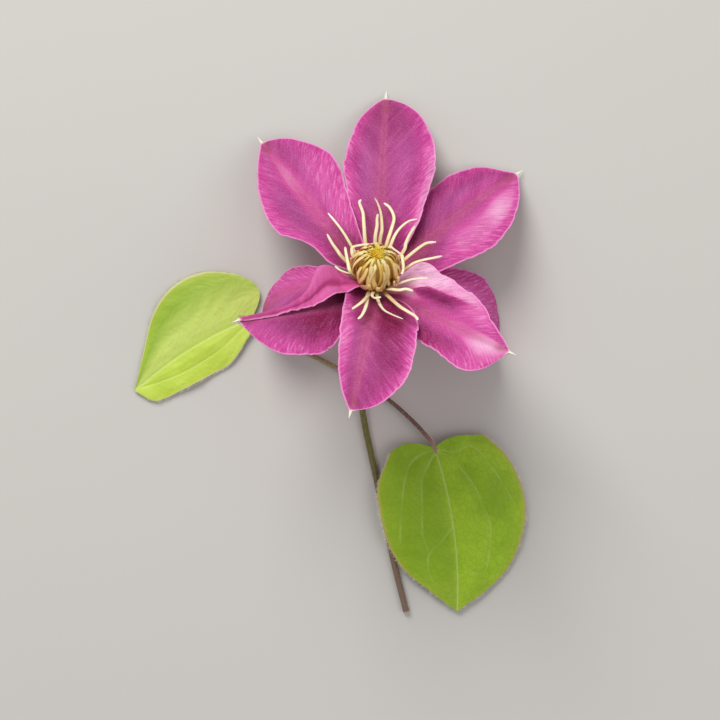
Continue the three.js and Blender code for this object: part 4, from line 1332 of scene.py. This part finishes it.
# %% Values of the leaves
LEAVES = {
    "leaf_left": dict(
        start=(-44.6, -10, 1.6), azimuth=212, length=50, rise=(0, -1), sway=22, base=(3, 17),
        lobe=(6, 6), tuck=(1, 1),
        ccw=(8.5, 12, 12, 11.5, 10.5, 9, 6.5), cw=(21.5, 23, 21.5, 17, 10, 4.5, 1.5),
        lift=(8, 8), curl=(-16, -16), wave=0.5, waves=2, phase=0,
        petiole=((-14, -28, 2.2), (-24, -23, 1.3), (-38, -15.4, 1.3), (-45.6, -10.6, 1.3), (-50, -9, 1.3)),
        veins=(
            ((0, 0), (0.3, 0), (0.6, 0), (1, 0)),
            ((0.02, 0), (0.15, 0.28), (0.4, 0.5), (0.65, 0.5), (0.85, 0.3), (0.97, 0.02)),
        ),
    ),
    "leaf_right": dict(
        start=(21.1, -56.6, 4.8), azimuth=-82, length=60, rise=(1, -6), sway=-22, base=(18.3, 15.8),
        lobe=(1.5, 4.6), tuck=(1.33, 0.75),
        ccw=(24, 26.7, 26.9, 24, 18.7, 10.2, 3.4), cw=(23.3, 25.1, 24.9, 23.2, 18.5, 10, 3.9),
        lift=(6, 6), curl=(-20, -8), wave=0.5, waves=2, phase=1,
        petiole=((2, -37.5, 3), (10, -44, 3), (17, -51, 3.6), (20.6, -55.6, 4.1), (22, -59, 4.4)),
        veins=(
            ((0, 0), (0.3, 0), (0.6, 0), (1, 0)),
            ((0.03, 0), (0.1, -0.16), (0.2, -0.32), (0.35, -0.39), (0.5, -0.46), (0.62, -0.44)),
            ((0.49, 0), (0.58, -0.23), (0.64, -0.43), (0.75, -0.56), (0.83, -0.62)),
            ((0.02, -0.02), (0.08, -0.41), (0.16, -0.55), (0.3, -0.66), (0.4, -0.73), (0.55, -0.82)),
            ((0.03, 0), (0.09, 0.19), (0.17, 0.28), (0.29, 0.38), (0.39, 0.43), (0.52, 0.51), (0.75, 0.56)),
            ((0.02, 0.02), (0.08, 0.3), (0.07, 0.55), (0.1, 0.66), (0.23, 0.72), (0.4, 0.83)),
            ((0.75, 0.2), (0.78, 0.4), (0.76, 0.56)),
        ),
    ),
}
print("veins:", ", ".join(f"{name} {len(leaf['veins'])}" for name, leaf in LEAVES.items()))

# %% [markdown]
# ## Places on a leaf
#
# A vein shows by how near each place is to it. The blade is laid flat for this, in mm, and the distance to
# every vein's path is measured there, so a vein keeps its width where the blade narrows. The same places,
# bent by the blade formula and with the lobes set back, are the leaf's face.

# %% Leaf places
def leaf_width(leaf, shares, side):
    return along_stations(shares, leaf["base"][side], leaf[HALVES[side]], TIP_HALF_WIDTH)


def leaf_flat(leaf, shares, acrosses):
    """Places in mm on the blade laid flat: along the midrib and out to the side."""
    width = np.where(acrosses >= 0, leaf_width(leaf, shares, 0), leaf_width(leaf, shares, 1))
    return np.stack(np.broadcast_arrays(shares * leaf["length"], acrosses * width), -1)


def vein_distance(leaf, flat):
    """Distance in mm from each place to the nearest vein, the first vein being the midrib."""
    nearest = []
    for vein in leaf["veins"]:
        path = smooth_path(vein, 10)
        line = leaf_flat(leaf, path[:, 0], path[:, 1])
        start, step = line[:-1], np.diff(line, axis=0)
        offset = flat[..., None, :] - start
        share = np.clip((offset * step).sum(-1) / (step**2).sum(-1), 0, 1)
        nearest.append(np.linalg.norm(offset - share[..., None] * step, axis=-1).min(-1))
    return nearest[0], np.min(nearest[1:], axis=0)


def leaf_grid(leaf, shares, acrosses, relief):
    middles = midrib_points(leaf, shares, np.array(leaf["start"], float))
    along, across, face = blade_directions(leaf, shares)
    out, up, _ = cross_section(leaf, shares, acrosses, leaf["base"])
    lobe, tuck = (np.where(acrosses >= 0, *leaf[key]) for key in ("lobe", "tuck"))
    back = lobe * np.sin(np.pi * tuck * np.abs(acrosses)) * (1 - shares[:, None]) ** 4
    points = middles[:, None] + (np.sign(acrosses) * out)[..., None] * across[:, None]
    return points + (up + relief)[..., None] * face[:, None] - back[..., None] * along[:, None] + BASE


# %% [markdown]
# ## Relief of a leaf
#
# Heights are real ones: a main vein lies about 0.15 mm deep, and the tissue between veins swells by twice
# that. The tissue is also faintly uneven, with swells several millimetres across and a finer crimp. All of
# it dies out at the margin and at the tip, so that the leaf's outline stays clean.

# %% Leaf relief
VEIN_DEPTH = 0.16
QUILT_HEIGHT = 0.3
SWELL_HEIGHT = 0.13
CRIMP_HEIGHT = 0.05
LEAF_THICKNESS = 0.35
LEAF_ROWS = 150
LEAF_COLUMNS = 131


def uneven(flat, beats, bend):
    """Irregular bumps between -1 and 1 on a flat blade: two rows of waves, each bent by the other's way."""
    along, over = flat[..., 0], flat[..., 1]
    rows = np.sin(beats[0] * along + bend * np.sin(beats[1] * over))
    return rows * np.sin(beats[2] * over + bend * np.sin(beats[3] * along))


def make_blade(name, leaf, materials):
    shares = np.linspace(0, 1, LEAF_ROWS) ** 1.05
    acrosses = np.linspace(-1, 1, LEAF_COLUMNS)
    flat = leaf_flat(leaf, shares[:, None], acrosses[None])
    midrib, lateral = vein_distance(leaf, flat)
    vein = np.maximum(near(midrib, 0, 0.9), 0.8 * near(lateral, 0, 0.75))
    quilt = smooth(np.minimum(midrib, lateral) / 4)
    fade = 0.65 + 0.35 * np.sin(0.5 * flat[..., 0] + 1.3 * np.sin(0.35 * flat[..., 1]))
    calm = smooth((1 - np.abs(acrosses)) * 6) * smooth((1 - shares[:, None]) * 12)
    swell = uneven(flat, (0.5, 0.31, 0.45, 0.23), 2.5)
    crimp = uneven(flat, (1.7, 0.7, 1.3, 0.6), 3)
    between = (SWELL_HEIGHT * swell + CRIMP_HEIGHT * crimp) * quilt
    relief = (QUILT_HEIGHT * (quilt - 1) + between - VEIN_DEPTH * vein) * calm
    front = leaf_grid(leaf, shares, acrosses, relief)
    share, across, rim, azimuth = np.broadcast_arrays(
        shares[:, None], acrosses, smooth((np.abs(acrosses) - 0.955) / 0.03), float(leaf["azimuth"]))
    blade = add_sheet(name, front, LEAF_THICKNESS, {
        "place": np.dstack([flat, azimuth]),
        "veins": np.dstack([near(midrib, 0, 0.45), fade * near(lateral, 0, 0.36), rim]),
        "shade": np.dstack([share, across, np.abs(across)]),
    })
    for material in materials:
        blade.data.materials.append(material)
    return blade, front


# %% [markdown]
# ## Leaf tissue
#
# A leaf's upper side is satin, with a waxy skin over soft tissue, and light shows through its veins. The
# main veins are pale. Between them lies a net of small veins, a cell pattern on the blade laid flat, about
# 2.5 mm from vein to vein. Broad mottling and a yellow to pinkish rim come on top.

# %% Leaf materials
def leaf_material(name, base, tints, net, roughness=0.45):
    material, tree, shader = new_material(name, roughness=roughness, specular=0.35)
    place = add_node(tree, "ShaderNodeAttribute", attribute_name="place").outputs["Vector"]
    masks = stored_masks(tree, {
        "veins": ("midrib", "laterals", "rim"), "shade": ("share", "across", "reach")})
    wander = add_node(tree, "ShaderNodeTexNoise", {"Vector": place, "Scale": 0.35, "Detail": 2.0})
    bent = add_node(tree, "ShaderNodeVectorMath", {0: wander.outputs[1], 1: (1.6, 1.6, 0), 2: place},
                    operation="MULTIPLY_ADD")
    cells = add_node(tree, "ShaderNodeTexVoronoi", {"Vector": bent, "Scale": 1 / 2.5},
                     feature="DISTANCE_TO_EDGE")
    patches = add_node(tree, "ShaderNodeTexNoise", {"Vector": place, "Scale": 0.09, "Detail": 3.0})
    grain = add_node(tree, "ShaderNodeTexNoise", {"Vector": place, "Scale": 1.6, "Detail": 3.0})
    ranges = {
        "net": (cells, 0.12, 0.0), "grain": (grain, 0.5, 0.7),
        "patches light": (patches, 0.48, 0.66), "patches dark": (patches, 0.52, 0.36),
        "left half": (masks["across"], 0.02, -0.12), "outer band": (masks["across"], -0.36, -0.72),
        "margin": (masks["reach"], 0.72, 1.0),
        "tip": (masks["share"], 0.75, 1.0), "foot": (masks["share"], 0.35, 0.0),
    }
    for label, (value, low, high) in ranges.items():
        limits = {"Value": value, "From Min": low, "From Max": high}
        masks[label] = add_node(tree, "ShaderNodeMapRange", limits)
    layers = [(masks[label], strength, hex_value) for label, strength, hex_value in tints]
    height = add_node(tree, "ShaderNodeMath", {0: masks["net"], 1: -net, 2: grain},
                      operation="MULTIPLY_ADD")
    finish_material(tree, shader, base, layers, height, 0.55, 0.2)
    return material


YOUNG_LEAF = leaf_material("young clematis leaf", "#CCE452", [
    ("patches light", 0.5, "#D6EA6C"),
    ("patches dark", 0.4, "#BAD446"),
    ("left half", 0.5, "#DCEC8A"),
    ("outer band", 0.9, "#94B830"),
    ("margin", 0.3, "#CCDC3C"),
    # Painted light: the blade's foot is painted paler for the light on its curled corner
    ("foot", 0.3, "#DCEC78"),
    ("net", 0.12, "#B0C848"),
    ("grain", 0.2, "#B8D048"),
    ("laterals", 0.25, "#D8E88C"),
    ("midrib", 0.6, "#DEEA98"),
    ("rim", 0.8, "#E6DEA2"),
], 0.15)
BROAD_LEAF = leaf_material("grown clematis leaf", "#A0C81E", [
    ("patches light", 0.5, "#B2D62E"),
    ("patches dark", 0.5, "#88AE14"),
    ("left half", 0.5, "#80A410"),
    ("margin", 0.3, "#B8C834"),
    ("net", 0.2, "#7CA016"),
    ("grain", 0.3, "#88AC1A"),
    ("laterals", 0.6, "#C4DC78"),
    ("midrib", 0.72, "#CAE084"),
    ("tip", 0.25, "#B4B446"),
    ("rim", 0.85, "#C3B25C"),
], 0.6)
LEAF_BACK = leaf_material("matte back of a clematis leaf", "#A9BE74", [
    ("patches dark", 0.4, "#98AE62"),
    ("net", 0.3, "#BFCF92"),
    ("laterals", 0.8, "#C8D69C"),
    ("midrib", 0.9, "#CFDAA6"),
    ("rim", 0.8, "#C3B97C"),
], 0.8, roughness=0.6)
print("leaf materials:", ", ".join(tissue.name for tissue in (YOUNG_LEAF, BROAD_LEAF, LEAF_BACK)))

# %% [markdown]
# ## A leaf with its stalk
#
# A leaf and its stalk grow as one piece. The stalk leaves the stem's swollen node and is thickest there,
# runs under the foot of the blade and thins out into the midrib. Longer hairs fringe the blade's two
# margins.

# %% Put the leaves together
# Sides, root and tip radius, length, and the shortest share of it
EDGE_HAIR = (3, 0.07, 0.02, 1.3, 0.45)
EDGE_HAIRS = 420


def edge_hairs(name, front, count, rng, seed):
    """Hairs along both margins of a blade, leaning out and towards the tip."""
    points, directions = [], []
    for edge, inside in ((front[:, 0], front[:, 2]), (front[:, -1], front[:, -3])):
        along = rng.random(count) ** 1.2 * (len(edge) - 2)
        i = along.astype(int)
        f = (along - i)[:, None]
        outward = unit(edge[i] - inside[i])
        forward = unit(edge[i + 1] - edge[i])
        points.append(edge[i] * (1 - f) + edge[i + 1] * f - [0, 0, 0.12])
        directions.append(outward + 0.5 * forward + 0.35 * rng.standard_normal((count, 3)))
    return spines(name, np.vstack(points), np.vstack(directions), EDGE_HAIR, DOWN, seed)


def make_leaf(name, face, stalk_skin, hairs, seed):
    leaf = LEAVES[name]
    blade, front = make_blade(name + " blade", leaf, (face, LEAF_BACK))
    first = np.array(leaf["petiole"][0])
    start = NODE_PLACE + unit(first - NODE_PLACE) * NODE_RADIUS * 0.5
    path = smooth_path(np.vstack([start, leaf["petiole"]]) + BASE, 14)
    share = np.linspace(0, 1, len(path))
    swell = np.interp(share, [0, 0.05, 0.2, 0.75, 0.92, 1], [1.3, 1.1, 0.85, 0.9, 0.7, 0.25])
    width = PETIOLE_RADIUS * swell
    far = smooth((share - 0.5) / 0.4)
    parts = stalk(name + " petiole", path, width, far, stalk_skin, hairs, seed)
    parts.append(edge_hairs(name + " edge", front, EDGE_HAIRS, np.random.default_rng(seed), seed))
    return joined(name, [blade, *parts])


leaf_left = make_leaf("leaf_left", YOUNG_LEAF, LEFT_STALK, 160, 41)
leaf_right = make_leaf("leaf_right", BROAD_LEAF, RIGHT_STALK, 420, 43)
report(leaf_left)
report(leaf_right)

# %% [markdown]
# ## Surface and light
#
# The flower lies on a plain pale surface, a painted board, which is matte and even. The light is soft and
# comes from the upper left, as it does in the photograph, with a weaker fill from the right and an even
# glow all round.

# %% Surface, lights and view
def light(name, place, target, size, power):
    """A round soft lamp. Its place and size are in metres."""
    lamp = bpy.data.lights.new(name, "AREA")
    lamp.shape = "DISK"
    lamp.size = size
    lamp.energy = power
    thing = add_object(name, lamp)
    thing.location = Vector(place)
    thing.rotation_euler = (Vector(target) - Vector(place)).to_track_quat("-Z", "Y").to_euler()


FLOOR_DROP = 0.2
FLOOR_HALF = 1.5
floor_mesh = bpy.data.meshes.new("surface")
corners = [(-1, -1), (1, -1), (1, 1), (-1, 1)]
floor_corners = [(x * FLOOR_HALF, y * FLOOR_HALF, -FLOOR_DROP * MM) for x, y in corners]
floor_mesh.from_pydata(floor_corners, [], [(0, 1, 2, 3)])
floor_material, _, floor_shader = new_material("pale studio surface", roughness=0.85, specular=0.2)
floor_shader.inputs["Base Color"].default_value = colour("#D6D2CB")
floor_mesh.materials.append(floor_material)
add_object("surface", floor_mesh)

bloom_middle = from_bloom([0, 0, 5]) + BASE
target = Vector(bloom_middle * MM)
light("key light", target + Vector((-0.45, 1.0, 0.95)), target, 0.9, 16)
light("fill light", target + Vector((0.8, -0.3, 1.0)), target, 0.9, 2.5)

world = bpy.data.worlds.new("studio air")
world.use_nodes = True
world.node_tree.nodes["Background"].inputs["Color"].default_value = colour("#F4F6FA")
world.node_tree.nodes["Background"].inputs["Strength"].default_value = 0.42
bpy.context.scene.world = world
bpy.context.scene.view_settings.view_transform = "Standard"

# %% [markdown]
# ## Riding on the body
#
# Each finished piece is named for the imported node it stands for and rides on the one body of this
# flower, and the imported node is hidden.

# %% Ride and replace
pieces = {**sepals, "stamens": stamens, "styles": styles, "stem": stem,
          "leaf_left": leaf_left, "leaf_right": leaf_right}
for node, piece in pieces.items():
    piece.name = node + "_fine"
    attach(piece, "root")
    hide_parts(node)
